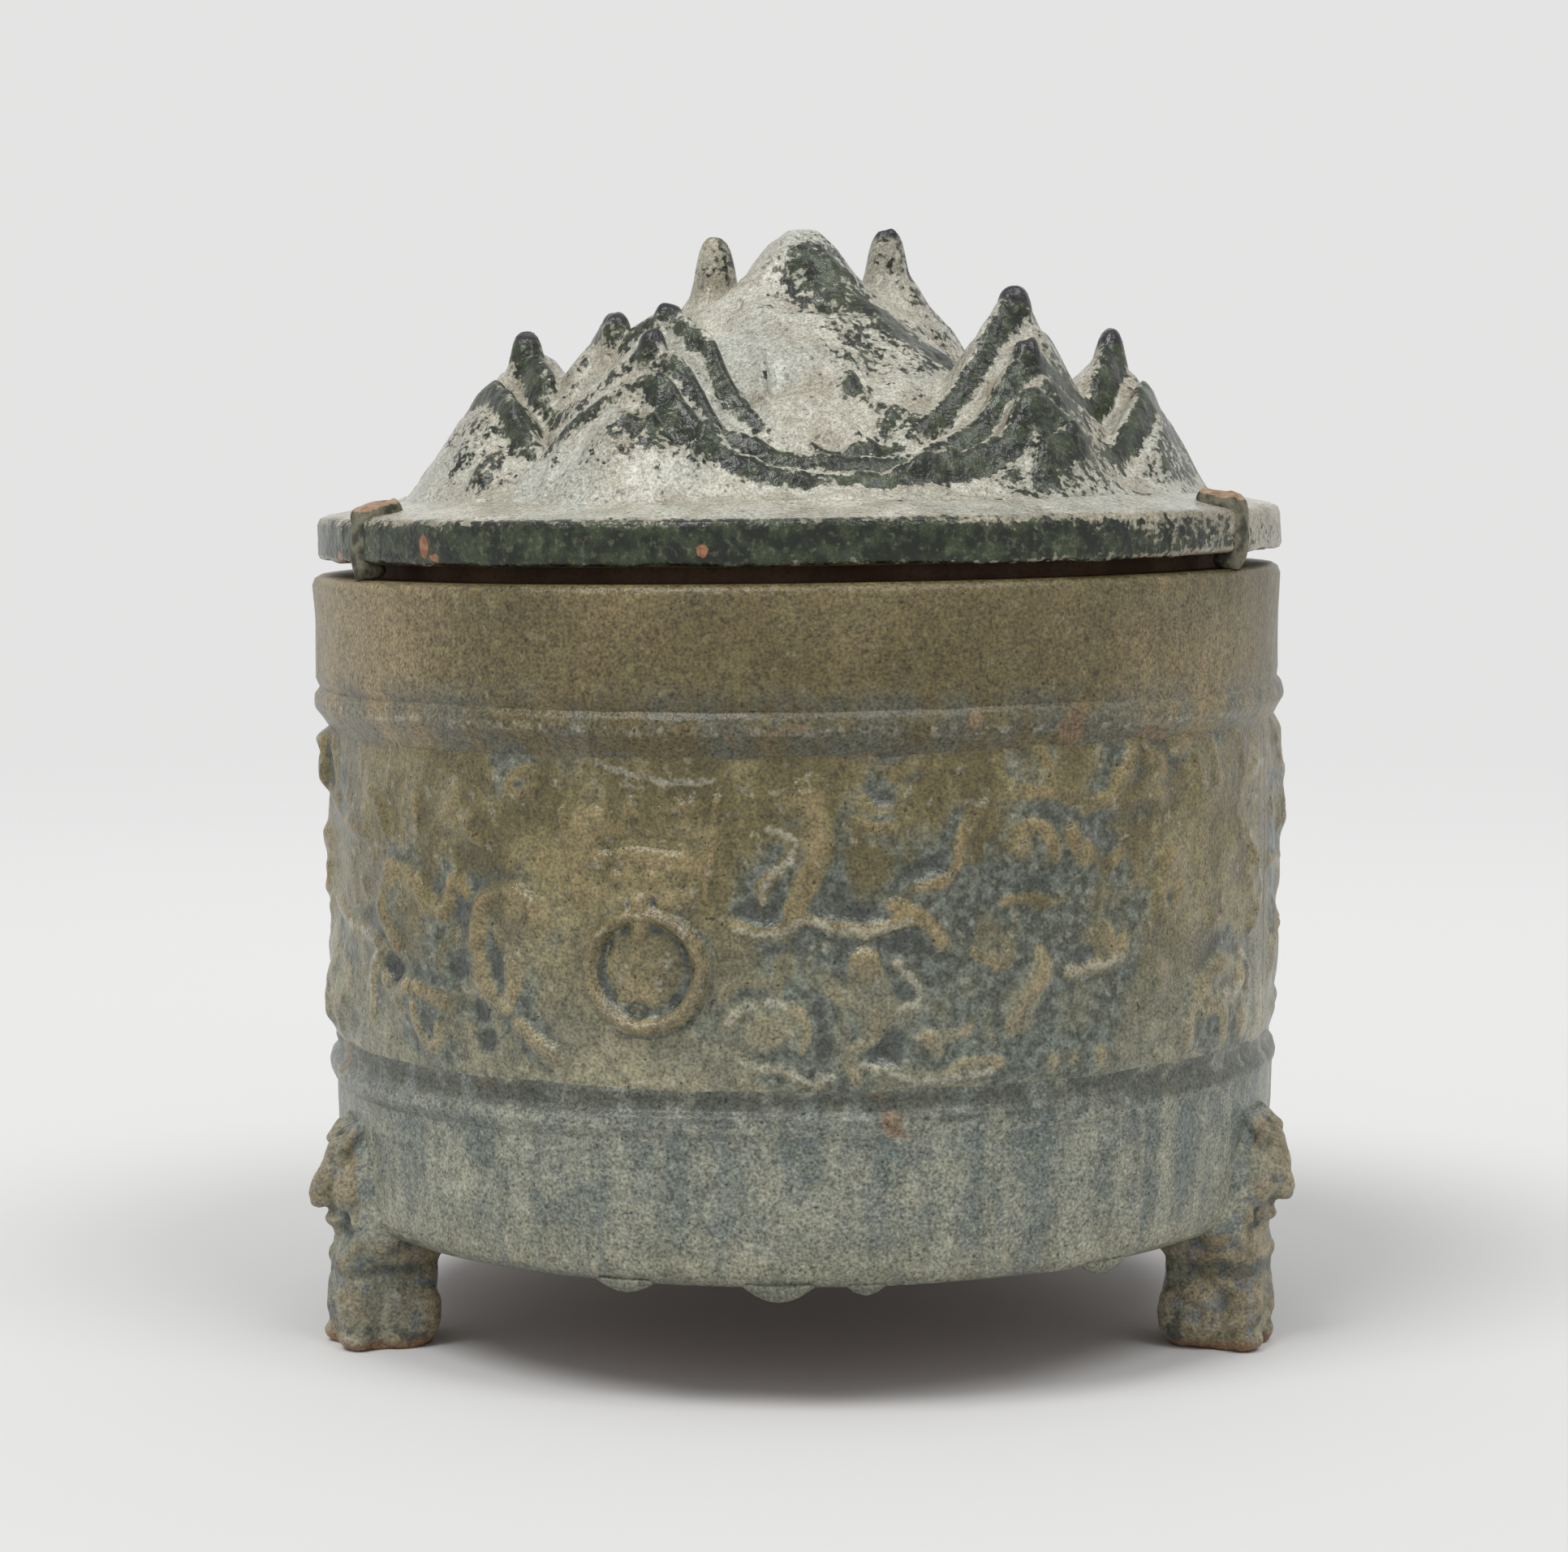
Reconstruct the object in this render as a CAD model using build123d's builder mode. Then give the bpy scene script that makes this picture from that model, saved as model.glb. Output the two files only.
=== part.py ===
"""A green-glazed earthenware hill jar: a round jar on three bear feet, under a loose lid shaped as mountains.

It is built as the potter builds it, from clay pieces that are luted together. Millimetres. The origin is on
the floor under the jar's axis, +Z is up and the front faces -Y. An azimuth is counted in degrees from the
front, positive towards +X.
"""

import os
from math import atan, cos, degrees, radians, sin

from build123d import *

# Jar: a stack of heights from the floor up, and radii from the axis.
base_height = 24.4
base_band_height = 30.6
channel_height = 75.6
rim_band_height = 25.0
rim_radius = 100.0
wall_thickness = 10.0
base_thickness = 9.0
base_ledge = 2.0
base_setback = 3.2
base_edge_round = 2.0
rim_edge_round = 1.6

# Relief frieze: two pressed clay strips between two cordons, all in one shallow channel of the wall.
channel_depth = 4.4
cordon_width = 4.2
lower_cordon_rise = 3.3
upper_cordon_rise = 5.0
cordon_round = 1.5
frieze_thickness = 2.0
frieze_strips = 2

# Mask holding a fixed ring, pressed onto each strip. Heights count from the bottom of the channel.
mask_azimuth = -19.0
mask_bottom = 40.0
mask_height = 20.5
mask_top_width = 31.0
mask_foot_width = 25.6
mask_relief = 1.2
nose_width = 5.4
nose_length = 10.0
nose_drop = 2.2
nose_relief = 2.8
eye_radius = 1.9
eye_distance = 6.8
eye_rise = 6.5
ring_radius = 11.4
ring_width = 3.2
ring_drop = 10.7
ring_relief = 2.0

# Bear feet, one to each azimuth. Reaches count outwards from the base band, heights from the floor. The
# head's profile runs from the crown over the brow, nose and lip to the chin.
foot_azimuths = {"left": -68.0, "right": 68.0, "back": 180.0}
leg_inset = 4.8
leg_depth = 17.6
leg_width = 17.0
leg_round = 4.0
chest_reach = -1.0
chest_height = 21.8
chest_radius = 7.6
crown_reach = 1.9
crown_height = 46.2
brow_reach = 4.7
brow_height = 41.8
nose_reach = 8.6
nose_height = 31.4
lip_reach = 5.8
lip_height = 28.2
chin_reach = 4.2
chin_height = 23.6
head_width = 15.0
ear_reach = 1.4
ear_height = 44.0
ear_radius = 3.0
ear_distance = 13.0
paw_reach = 1.2
paw_height = 18.6
paw_radius = 3.9
paw_distance = 8.0
knee_reach = -1.4
knee_height = 8.6
knee_radius = 6.7
knee_distance = 6.0

# Glaze drops under the base: where each hangs, its length along the edge and how far it hangs down.
drop_azimuths = (-22.0, -3.0, 7.5, 38.0, 120.0)
drop_lengths = (9.0, 13.0, 8.0, 12.0, 9.0)
drop_depths = (2.0, 4.2, 2.0, 3.0, 2.4)
drop_width = 3.4
drop_inset = 0.4
drop_taper = 14.0

# Lid: a brim, a locating flange under it and a hollow hill in its middle. Heights count from its lower edge.
lid_setback = 0.4
lid_rest_gap = 3.1
brim_edge_height = 7.4
brim_edge_round = 1.8
brim_overlap = 3.0
skirt_rise = 2.8
hill_inset = 14.6
hill_seat = 8.6
flange_clearance = 2.4
flange_thickness = 8.6
flange_depth = 12.5
flange_round = 1.5
hill_floor = 15.6
valley_inset = 11.0
hill_wall = 3.3
cavity_foot_radius = 46.0
cavity_tip_radius = 8.0
cavity_top = 47.3
mountain_foot_radius = 61.0
mountain_waist_radius = 25.0
mountain_waist_height = 44.0

# Middle peaks: place east and north of the axis, height of the tip, steepness of the flank, radius of the tip.
hills = (
    (0.0, 0.0, 66.3, 1.05, 7.0),
    (-17.6, 12.0, 64.9, 2.6, 2.6),
    (18.2, 12.0, 66.9, 2.6, 2.6),
    (2.0, 27.0, 59.3, 1.7, 2.6),
)

# Three curtains of hills, one behind another: azimuth, radius and height of each crest, station by station.
crest_width = 1.6
crest_back_slope = 1.1
outer_steepness = 2.0
outer_azimuths = (
    -98.0, -83.0, -72.1, -65.1, -60.2, -53.1, -45.9, -37.6, -29.5, -24.5, -18.1, -13.0, -7.4, 4.4, 14.7,
    24.3, 34.2, 36.5, 39.0, 44.5, 49.9, 56.6, 64.3, 73.0, 83.0, 97.0, 104.0, 112.0, 130.0, 150.0, 172.0,
    192.0, 214.0, 236.0, 250.0,
)
outer_radii = (
    75.0, 71.4, 68.4, 66.6, 67.1, 68.6, 69.8, 68.9, 66.9, 66.8, 69.5, 71.6, 73.6, 75.0, 74.7, 73.1, 71.7,
    71.5, 71.9, 72.6, 73.6, 73.5, 72.7, 71.7, 71.6, 75.0, 74.0, 76.0, 70.0, 76.0, 70.0, 76.0, 71.0, 77.0,
    72.0,
)
outer_heights = (
    19.3, 24.3, 30.7, 35.5, 35.1, 29.0, 23.5, 29.5, 35.2, 36.2, 31.1, 24.9, 20.0, 16.7, 17.4, 20.3, 25.3,
    31.6, 34.0, 28.3, 21.8, 20.1, 28.1, 33.8, 32.1, 21.3, 25.3, 19.3, 32.3, 19.3, 33.3, 19.3, 31.3, 18.3,
    29.3,
)
middle_steepness = 1.8
middle_azimuths = (
    -106.0, -98.0, -82.0, -74.0, -65.7, -58.9, -54.8, -46.2, -37.8, -30.9, -23.6, -17.3, -13.0, -5.5, 3.1,
    13.7, 23.4, 31.0, 36.4, 44.9, 51.4, 63.0, 69.9, 77.0, 83.5, 90.0, 104.0, 116.0, 133.0, 150.0, 176.0,
    200.0, 222.0, 245.0,
)
middle_radii = (
    62.0, 59.0, 56.3, 56.0, 56.4, 56.9, 57.3, 57.9, 56.7, 55.6, 57.7, 60.3, 62.5, 65.4, 67.0, 66.6, 65.1,
    63.6, 63.0, 62.5, 62.5, 62.1, 62.0, 63.0, 63.6, 64.4, 66.0, 64.0, 62.0, 64.0, 60.0, 66.0, 58.0, 64.0,
)
middle_heights = (
    29.3, 36.3, 44.3, 42.8, 38.4, 30.8, 29.9, 33.4, 38.8, 43.3, 39.0, 32.8, 26.6, 21.5, 19.8, 19.9, 22.6,
    26.6, 32.7, 41.9, 37.3, 31.7, 29.9, 39.4, 43.1, 40.3, 27.3, 29.3, 40.3, 25.3, 41.3, 23.3, 39.3, 24.3,
)
inner_steepness = 1.7
inner_azimuths = (
    -105.0, -78.0, -57.0, -53.0, -36.5, -24.9, -18.0, -13.8, -6.7, 3.7, 16.3, 24.0, 33.1, 40.8, 55.1, 61.1,
    78.0, 90.0, 120.0, 140.0, 160.0, 180.0, 205.0, 225.0, 240.0,
)
inner_radii = (
    46.0, 42.0, 45.0, 45.0, 43.1, 45.1, 48.1, 50.3, 54.4, 57.3, 57.2, 54.7, 52.6, 52.0, 52.0, 51.5, 51.0,
    51.4, 50.0, 54.0, 48.0, 44.0, 50.0, 46.0, 48.0,
)
inner_heights = (
    36.3, 44.3, 48.3, 43.8, 50.1, 46.1, 39.1, 32.8, 27.1, 22.5, 22.9, 26.2, 32.9, 40.9, 51.3, 48.8, 38.3,
    33.3, 44.3, 30.3, 38.3, 47.3, 31.3, 44.3, 34.3,
)

# Kiln wads: clay straps left on the rim from the firing, which also carry the lid on the jar's mouth.
wad_azimuths = {"left": -60.0, "right": 60.0, "back": 180.0}
wad_width = 9.0
wad_proud = 1.2
wad_rise = 6.0
wad_inset = 4.5
wad_seat = 7.1

# Clearance left between luted pieces on curved faces.
luting_gap = 0.1

# Heights and radii that follow from the sizes above.
channel_bottom = base_height + base_band_height
channel_top = channel_bottom + channel_height
jar_height = channel_top + rim_band_height
frieze_bottom = channel_bottom + cordon_width
frieze_top = channel_top - cordon_width
strip_turn = 360 / frieze_strips
bore_radius = rim_radius - wall_thickness
base_radius = bore_radius + base_ledge
base_band_radius = rim_radius - base_setback
channel_radius = rim_radius - channel_depth
frieze_radius = channel_radius + frieze_thickness
lid_bottom = jar_height + lid_rest_gap
brim_top = lid_bottom + brim_edge_height
seat_height = lid_bottom + hill_seat
valley_height = lid_bottom + hill_floor
ceiling_height = valley_height - hill_wall
skirt_top = brim_top + brim_edge_round + skirt_rise
lid_radius = rim_radius - lid_setback
hill_radius = lid_radius - hill_inset
valley_radius = hill_radius - valley_inset
waist_height = lid_bottom + mountain_waist_height
flange_radius = bore_radius - flange_clearance
flange_bore = flange_radius - flange_thickness
brim_bore = flange_bore - brim_overlap


def toward(azimuth):
    """Unit vector from the axis towards an azimuth."""
    return Vector(sin(radians(azimuth)), -cos(radians(azimuth)), 0)


def section_plane(azimuth):
    """Upright plane through the axis: local x runs outwards, local y runs up."""
    across = Vector(-cos(radians(azimuth)), -sin(radians(azimuth)), 0)
    return Plane(origin=(0, 0, 0), x_dir=toward(azimuth), z_dir=across)


def wall_plane(azimuth, height):
    """Plane on the axis that looks out at an azimuth: local x runs round to the right, local y runs up."""
    along = Vector(cos(radians(azimuth)), sin(radians(azimuth)), 0)
    return Plane(origin=(0, 0, height), x_dir=along, z_dir=toward(azimuth))


def foot_plane(azimuth):
    """Level plane on the floor: local x runs outwards, local y runs round."""
    return Plane(origin=(0, 0, 0), x_dir=toward(azimuth), z_dir=(0, 0, 1))


def ring_section(inner, outer, bottom, top):
    """Rectangle between two radii and two heights, to be revolved round the axis."""
    with BuildSketch(Plane.XZ) as section:
        with Locations((inner, bottom)):
            Rectangle(outer - inner, top - bottom, align=(Align.MIN, Align.MIN))
    return section.sketch


with BuildPart() as jar_wall:
    with BuildSketch(Plane.XZ):
        with BuildLine():
            Polyline(
                (bore_radius, base_height + base_thickness),
                (base_radius, base_height + base_thickness),
                (base_radius, base_height),
                (base_band_radius, base_height),
                (base_band_radius, channel_bottom),
                (channel_radius, channel_bottom),
                (channel_radius, channel_top),
                (rim_radius, channel_top),
                (rim_radius, jar_height),
                (bore_radius, jar_height),
                close=True,
            )
        make_face()
    revolve(axis=Axis.Z)
    rim_edges = jar_wall.edges().filter_by(GeomType.CIRCLE).group_by(Axis.Z)[-1]
    fillet(rim_edges, radius=rim_edge_round)
    base_edge = jar_wall.edges().filter_by(GeomType.CIRCLE).group_by(Axis.Z)[0].sort_by(SortBy.RADIUS)[-1]
    fillet(base_edge, radius=base_edge_round)
jar_wall.part.label = "jar_wall"

with BuildPart() as base_disc:
    with BuildSketch(Plane.XY.offset(base_height)):
        Circle(base_radius - luting_gap)
    extrude(amount=base_thickness)
base_disc.part.label = "base_disc"


def cordon(bottom, radius):
    """Clay cord round the wall with a rounded outside."""
    with BuildPart() as cord:
        revolve(ring_section(channel_radius + luting_gap, radius, bottom, bottom + cordon_width), axis=Axis.Z)
        outside = cord.edges().filter_by(GeomType.CIRCLE).group_by(SortBy.RADIUS)[-1]
        fillet(outside, radius=cordon_round)
    return cord.part


lower_cordon = cordon(channel_bottom, channel_radius + lower_cordon_rise)
lower_cordon.label = "lower_cordon"
upper_cordon = cordon(frieze_top, channel_radius + upper_cordon_rise)
upper_cordon.label = "upper_cordon"


def frieze(middle):
    """One strip of the frieze, centred on an azimuth."""
    with BuildPart() as strip:
        with BuildSketch(section_plane(middle - strip_turn / 2)):
            with Locations((channel_radius + luting_gap, frieze_bottom)):
                thickness = frieze_radius - channel_radius - luting_gap
                Rectangle(thickness, frieze_top - frieze_bottom, align=(Align.MIN, Align.MIN))
        revolve(axis=Axis.Z, revolution_arc=strip_turn)
    return strip.part


frieze_front = frieze(mask_azimuth)
frieze_front.label = "frieze_front"
frieze_back = frieze(mask_azimuth + strip_turn)
frieze_back.label = "frieze_back"


def low_relief(azimuth, height, rise, outline):
    """Pad of one thickness that follows the wall, cut to an outline drawn on the plane facing an azimuth."""
    with BuildPart() as pad:
        with BuildSketch(wall_plane(azimuth, height)):
            outline()
        extrude(amount=rim_radius + rise)
        shell = ring_section(frieze_radius + luting_gap, frieze_radius + rise, frieze_bottom, frieze_top)
        revolve(shell, axis=Axis.Z, mode=Mode.INTERSECT)
    return pad.part


def mask_face():
    """Face of the mask: a plate that narrows downwards."""
    Polygon(
        (-mask_foot_width / 2, 0),
        (mask_foot_width / 2, 0),
        (mask_top_width / 2, mask_height),
        (-mask_top_width / 2, mask_height),
        align=None,
    )


def mask_eyes():
    """Two round eyes."""
    with Locations((0, eye_rise)):
        with GridLocations(eye_distance, 0, 2, 1):
            Circle(eye_radius)


def mask_nose():
    """Nose that reaches down over the ring."""
    with Locations((0, -nose_drop)):
        SlotOverall(nose_length, nose_width, rotation=90)


def mask_ring():
    """Ring held under the nose."""
    with Locations((0, -ring_drop)):
        Circle(ring_radius)
        Circle(ring_radius - ring_width, mode=Mode.SUBTRACT)


def mask_and_ring(azimuth):
    """Mask with its ring in one pressed piece."""
    foot = channel_bottom + mask_bottom
    with BuildPart() as mask:
        add(low_relief(azimuth, foot, mask_relief, mask_face))
        add(low_relief(azimuth, foot, ring_relief, mask_eyes))
        add(low_relief(azimuth, foot, ring_relief, mask_ring))
        add(low_relief(azimuth, foot, nose_relief, mask_nose))
    return mask.part


mask_ring_front = mask_and_ring(mask_azimuth)
mask_ring_front.label = "mask_ring_front"
mask_ring_back = mask_and_ring(mask_azimuth + strip_turn)
mask_ring_back.label = "mask_ring_back"


def bear_head():
    """Head in profile towards +X, rounded to an oval as seen from its front."""
    wall = base_band_radius
    crown = (wall + crown_reach, crown_height)
    brow = (wall + brow_reach, brow_height)
    nose = (wall + nose_reach, nose_height)
    lip = (wall + lip_reach, lip_height)
    chin = (wall + chin_reach, chin_height)
    middle = (crown_height + chin_height) / 2
    with BuildPart() as head:
        with BuildSketch(Plane.XZ):
            with BuildLine():
                Polyline(nose, lip, chin, (wall, chin_height), (wall, crown_height), crown)
                Spline(crown, brow, nose)
            make_face()
        extrude(amount=head_width, both=True)
        with BuildSketch(Plane.YZ):
            with Locations((0, middle)):
                Ellipse(head_width / 2, crown_height - middle + ear_radius)
        extrude(amount=wall + nose_reach, mode=Mode.INTERSECT)
    return head.part


def bear_foot(azimuth):
    """Crouching bear: it carries the base on its back and looks outwards."""
    floor = foot_plane(azimuth)
    with BuildPart(floor) as bear:
        with BuildSketch(floor):
            with Locations((base_band_radius - leg_inset, 0)):
                RectangleRounded(leg_depth, leg_width, leg_round)
        extrude(amount=base_height)
        with Locations((base_band_radius + chest_reach, 0, chest_height)):
            Sphere(chest_radius)
        with Locations((base_band_radius + ear_reach, 0, ear_height)):
            with GridLocations(0, ear_distance, 1, 2):
                Sphere(ear_radius)
        with Locations((base_band_radius + paw_reach, 0, paw_height)):
            with GridLocations(0, paw_distance, 1, 2):
                Sphere(paw_radius)
        with Locations((base_band_radius + knee_reach, 0, knee_height)):
            with GridLocations(0, knee_distance, 1, 2):
                Sphere(knee_radius)
        add(bear_head())
        wall = ring_section(0, base_band_radius + luting_gap, base_height, channel_bottom)
        revolve(wall, axis=Axis.Z, mode=Mode.SUBTRACT)
    return bear.part


bear_feet = {place: bear_foot(azimuth) for place, azimuth in foot_azimuths.items()}
for place, bear in bear_feet.items():
    bear.label = "bear_foot_" + place

with BuildPart() as glaze_drops:
    for azimuth, length, depth in zip(drop_azimuths, drop_lengths, drop_depths):
        under = foot_plane(azimuth).offset(base_height)
        with BuildSketch(under):
            with Locations((base_band_radius - base_edge_round - drop_inset, 0)):
                SlotOverall(length, drop_width, rotation=90)
        extrude(amount=-depth, taper=drop_taper)
glaze_drops.part.label = "glaze_drops"

with BuildPart() as lid_brim:
    with BuildSketch(Plane.XZ):
        with BuildLine():
            shoulder = (lid_radius - brim_edge_round, brim_top + brim_edge_round)
            Polyline(
                (lid_radius, brim_top),
                (lid_radius, lid_bottom),
                (brim_bore, lid_bottom),
                (brim_bore, seat_height),
                (hill_radius, seat_height),
                (hill_radius, skirt_top),
                shoulder,
            )
            RadiusArc(shoulder, (lid_radius, brim_top), brim_edge_round)
        make_face()
    revolve(axis=Axis.Z)
lid_brim.part.label = "lid_brim"

with BuildPart() as lid_flange:
    revolve(ring_section(flange_bore, flange_radius, lid_bottom - flange_depth, lid_bottom), axis=Axis.Z)
    lower_edges = lid_flange.edges().filter_by(GeomType.CIRCLE).group_by(Axis.Z)[0]
    fillet(lower_edges, radius=flange_round)
lid_flange.part.label = "lid_flange"


def crest_section(azimuth, radius, height, steepness):
    """Section of a curtain of hills: a narrow crest, steep outside and gentle behind."""
    crest = lid_bottom + height
    outside = radius + crest_width / 2
    inside = radius - crest_width / 2
    outer_foot = outside + (crest - seat_height) / steepness
    inner_foot = max(crest_width, inside - (crest - seat_height) / crest_back_slope)
    with BuildSketch(section_plane(azimuth)) as section:
        with BuildLine():
            Polyline((inside, crest), (outside, crest), (outer_foot, seat_height), (inner_foot, seat_height), close=True)
        make_face()
    return section.sketch


def crest_runs(azimuths, radii, heights, steepness):
    """Sections of one curtain all the way round, in three runs that share their end sections."""
    sections = [crest_section(*station, steepness) for station in zip(azimuths, radii, heights)]
    third = len(sections) // 3
    return [sections[: third + 1], sections[third : 2 * third + 1], sections[2 * third :] + sections[:1]]


curtains = crest_runs(outer_azimuths, outer_radii, outer_heights, outer_steepness)
curtains += crest_runs(middle_azimuths, middle_radii, middle_heights, middle_steepness)
curtains += crest_runs(inner_azimuths, inner_radii, inner_heights, inner_steepness)

with BuildPart() as lid_hill:
    with BuildSketch(Plane.XZ):
        with BuildLine():
            Polyline(
                (0, seat_height),
                (hill_radius, seat_height),
                (hill_radius, skirt_top),
                (valley_radius, valley_height),
                (mountain_foot_radius, valley_height),
                (mountain_waist_radius, waist_height),
                (0, waist_height),
                close=True,
            )
        make_face()
    revolve(axis=Axis.Z)
    for curtain in curtains:
        loft(sections=curtain, ruled=True)
    for east, north, height, steepness, roundness in hills:
        tip = lid_bottom + height
        flank = atan(steepness)
        shoulder = (roundness * sin(flank), tip - roundness * (1 - cos(flank)))
        foot = shoulder[0] + (shoulder[1] - seat_height) / steepness
        with BuildSketch(Plane(origin=(east, north, 0), x_dir=(1, 0, 0), z_dir=(0, -1, 0))):
            with BuildLine():
                Polyline((0, tip), (0, seat_height), (foot, seat_height), shoulder)
                CenterArc((0, tip - roundness), roundness, 90 - degrees(flank), degrees(flank))
            make_face()
        revolve(axis=Axis((east, north, 0), (0, 0, 1)))
    with BuildSketch(Plane.XY.offset(seat_height)):
        Circle(hill_radius - luting_gap)
    extrude(amount=max(hill[2] for hill in hills), mode=Mode.INTERSECT)
    with BuildSketch(Plane.XZ):
        with BuildLine():
            Polyline(
                (0, seat_height),
                (brim_bore, seat_height),
                (valley_radius - hill_wall, ceiling_height),
                (cavity_foot_radius, ceiling_height),
                (cavity_tip_radius, lid_bottom + cavity_top),
                (0, lid_bottom + cavity_top),
                close=True,
            )
        make_face()
    revolve(axis=Axis.Z, mode=Mode.SUBTRACT)
lid_hill.part.label = "lid_hill"


def kiln_wad(azimuth):
    """Clay strap round the brim's edge, with a lump on top and a flat seat on the jar's mouth."""
    outside = lid_radius + wad_proud
    inside = hill_radius + wad_inset
    shoulder = brim_top + brim_edge_round
    with BuildPart() as wad:
        with BuildSketch(section_plane(azimuth)):
            with BuildLine():
                Polyline(
                    (lid_radius - wad_seat, jar_height),
                    (lid_radius, jar_height),
                    (outside, lid_bottom),
                    (outside, shoulder),
                    (lid_radius - wad_proud, shoulder + 0.6 * wad_rise),
                    (inside + wad_proud, shoulder + wad_rise),
                    (inside, lid_bottom),
                    (lid_radius - wad_seat, lid_bottom),
                    close=True,
                )
            make_face()
        extrude(amount=wad_width / 2, both=True)
        add(lid_brim.part, mode=Mode.SUBTRACT)
    return wad.part


wads = {place: kiln_wad(azimuth) for place, azimuth in wad_azimuths.items()}
for place, wad in wads.items():
    wad.label = "kiln_wad_" + place

os.makedirs("parts", exist_ok=True)
export_step(jar_wall.part, "parts/jar_wall.step")
export_step(base_disc.part, "parts/base_disc.step")
export_step(lower_cordon, "parts/lower_cordon.step")
export_step(upper_cordon, "parts/upper_cordon.step")
export_step(frieze_front, "parts/frieze_front.step")
export_step(frieze_back, "parts/frieze_back.step")
export_step(mask_ring_front, "parts/mask_ring_front.step")
export_step(mask_ring_back, "parts/mask_ring_back.step")
for place, bear in bear_feet.items():
    export_step(bear, "parts/bear_foot_" + place + ".step")
export_step(glaze_drops.part, "parts/glaze_drops.step")
export_step(lid_brim.part, "parts/lid_brim.step")
export_step(lid_flange.part, "parts/lid_flange.step")
export_step(lid_hill.part, "parts/lid_hill.step")
for place, wad in wads.items():
    export_step(wad, "parts/kiln_wad_" + place + ".step")
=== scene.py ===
# %% [markdown]
# A green-glazed hill jar: the frame
#
# The object is an earthenware jar with a loose lid shaped as a range of mountains. Its clay pieces were
# pressed in moulds, luted together and covered with a lead glaze that centuries have dulled. The frame that
# is loaded first holds the exact solids. Everything below is built in that frame, in millimetres, and turned
# into metres only when a mesh is made.

# %% Load the frame
import math

import bpy
import numpy as np
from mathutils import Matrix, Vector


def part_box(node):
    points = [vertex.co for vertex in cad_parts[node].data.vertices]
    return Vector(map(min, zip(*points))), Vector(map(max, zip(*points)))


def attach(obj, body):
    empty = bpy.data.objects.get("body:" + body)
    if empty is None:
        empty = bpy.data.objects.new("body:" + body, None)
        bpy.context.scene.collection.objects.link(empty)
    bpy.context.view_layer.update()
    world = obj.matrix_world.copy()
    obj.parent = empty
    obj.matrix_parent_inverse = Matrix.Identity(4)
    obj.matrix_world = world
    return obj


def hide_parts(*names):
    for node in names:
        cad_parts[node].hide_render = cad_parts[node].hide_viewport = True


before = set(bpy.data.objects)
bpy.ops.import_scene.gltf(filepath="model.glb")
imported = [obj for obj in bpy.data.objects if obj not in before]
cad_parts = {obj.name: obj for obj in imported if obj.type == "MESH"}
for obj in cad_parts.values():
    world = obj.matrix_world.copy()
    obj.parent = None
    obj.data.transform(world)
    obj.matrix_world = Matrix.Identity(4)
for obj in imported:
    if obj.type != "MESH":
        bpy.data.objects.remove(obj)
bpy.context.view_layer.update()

MM = 0.001

# %% [markdown]
# Sizes
#
# Radii and heights are read off the solids, so that a visible piece always sits where its solid sits. Only
# what the solids don't say, such as the lean of the fired jar, is written here.


# %% Sizes from the solids
def node_low(node):
    """Lowest corner of a node in millimetres."""
    return np.array(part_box(node)[0]) / MM


def node_high(node):
    """Highest corner of a node in millimetres."""
    return np.array(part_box(node)[1]) / MM


RIM_RADIUS = node_high("jar_wall")[0]
RIM_TOP = node_high("jar_wall")[2]
BASE_BOTTOM = node_low("jar_wall")[2]
BASE_TOP = node_high("base_disc")[2]
BASE_DISC_RADIUS = node_high("base_disc")[0]
CHANNEL_BOTTOM = node_low("lower_cordon")[2]
FRIEZE_BOTTOM = node_high("lower_cordon")[2]
FRIEZE_TOP = node_low("upper_cordon")[2]
CHANNEL_TOP = node_high("upper_cordon")[2]
LID_BOTTOM = node_low("lid_brim")[2]
LID_RADIUS = node_high("lid_brim")[0]
HILL_RADIUS = node_high("lid_hill")[0]
HILL_SEAT = node_low("lid_hill")[2]
FLANGE_RADIUS = node_high("lid_flange")[0]
FLANGE_BOTTOM = node_low("lid_flange")[2]

BORE_RADIUS = 90.0
CHANNEL_RADIUS = 95.6
BASE_RADIUS = 96.8
FRIEZE_RADIUS = 97.6
FLANGE_BORE = 79.0
BRIM_BORE = 76.0
BRIM_TOP = 166.1
MASK_AZIMUTH = -19.0
FOOT_AZIMUTHS = {"left": -68.0, "right": 68.0, "back": 180.0}
LEAN = 0.0134
LEAN_START = 45.0
DRIFT_HEIGHTS = [0.0, 24.0, 45.0, 105.0, 126.0, 134.0, 156.0, 158.0]
DRIFT = [0.2, 0.3, 1.1, 1.1, 0.6, -0.1, -0.2, 0.0]
print("rim", RIM_RADIUS, RIM_TOP, "lid", LID_BOTTOM, LID_RADIUS, "hill", HILL_RADIUS, HILL_SEAT)

# %% [markdown]
# Mesh helpers
#
# Almost every piece here is turned or coiled clay, so one helper joins rows of points into a closed skin:
# each row is a ring of points, and neighbouring rows are joined by four-cornered faces. Doing this with
# whole arrays keeps a fine mesh quick to build, and a fine mesh lets worn relief be real shape.


# %% Joining rows of points
def stitch(rows, columns, wrap_rows, wrap_columns):
    """Four-cornered faces between the rows and columns of a grid of points."""
    last_row = rows if wrap_rows else rows - 1
    last_column = columns if wrap_columns else columns - 1
    row, column = np.meshgrid(np.arange(last_row), np.arange(last_column), indexing="ij")
    next_row = (row + 1) % rows
    next_column = (column + 1) % columns
    corners = (row * columns + column, next_row * columns + column)
    others = (next_row * columns + next_column, row * columns + next_column)
    return np.stack([corners[0], corners[1], others[0], others[1]], axis=-1).reshape(-1, 4)


print("a tube of 3 rings of 4 points has", len(stitch(3, 4, False, True)), "faces")


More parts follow.
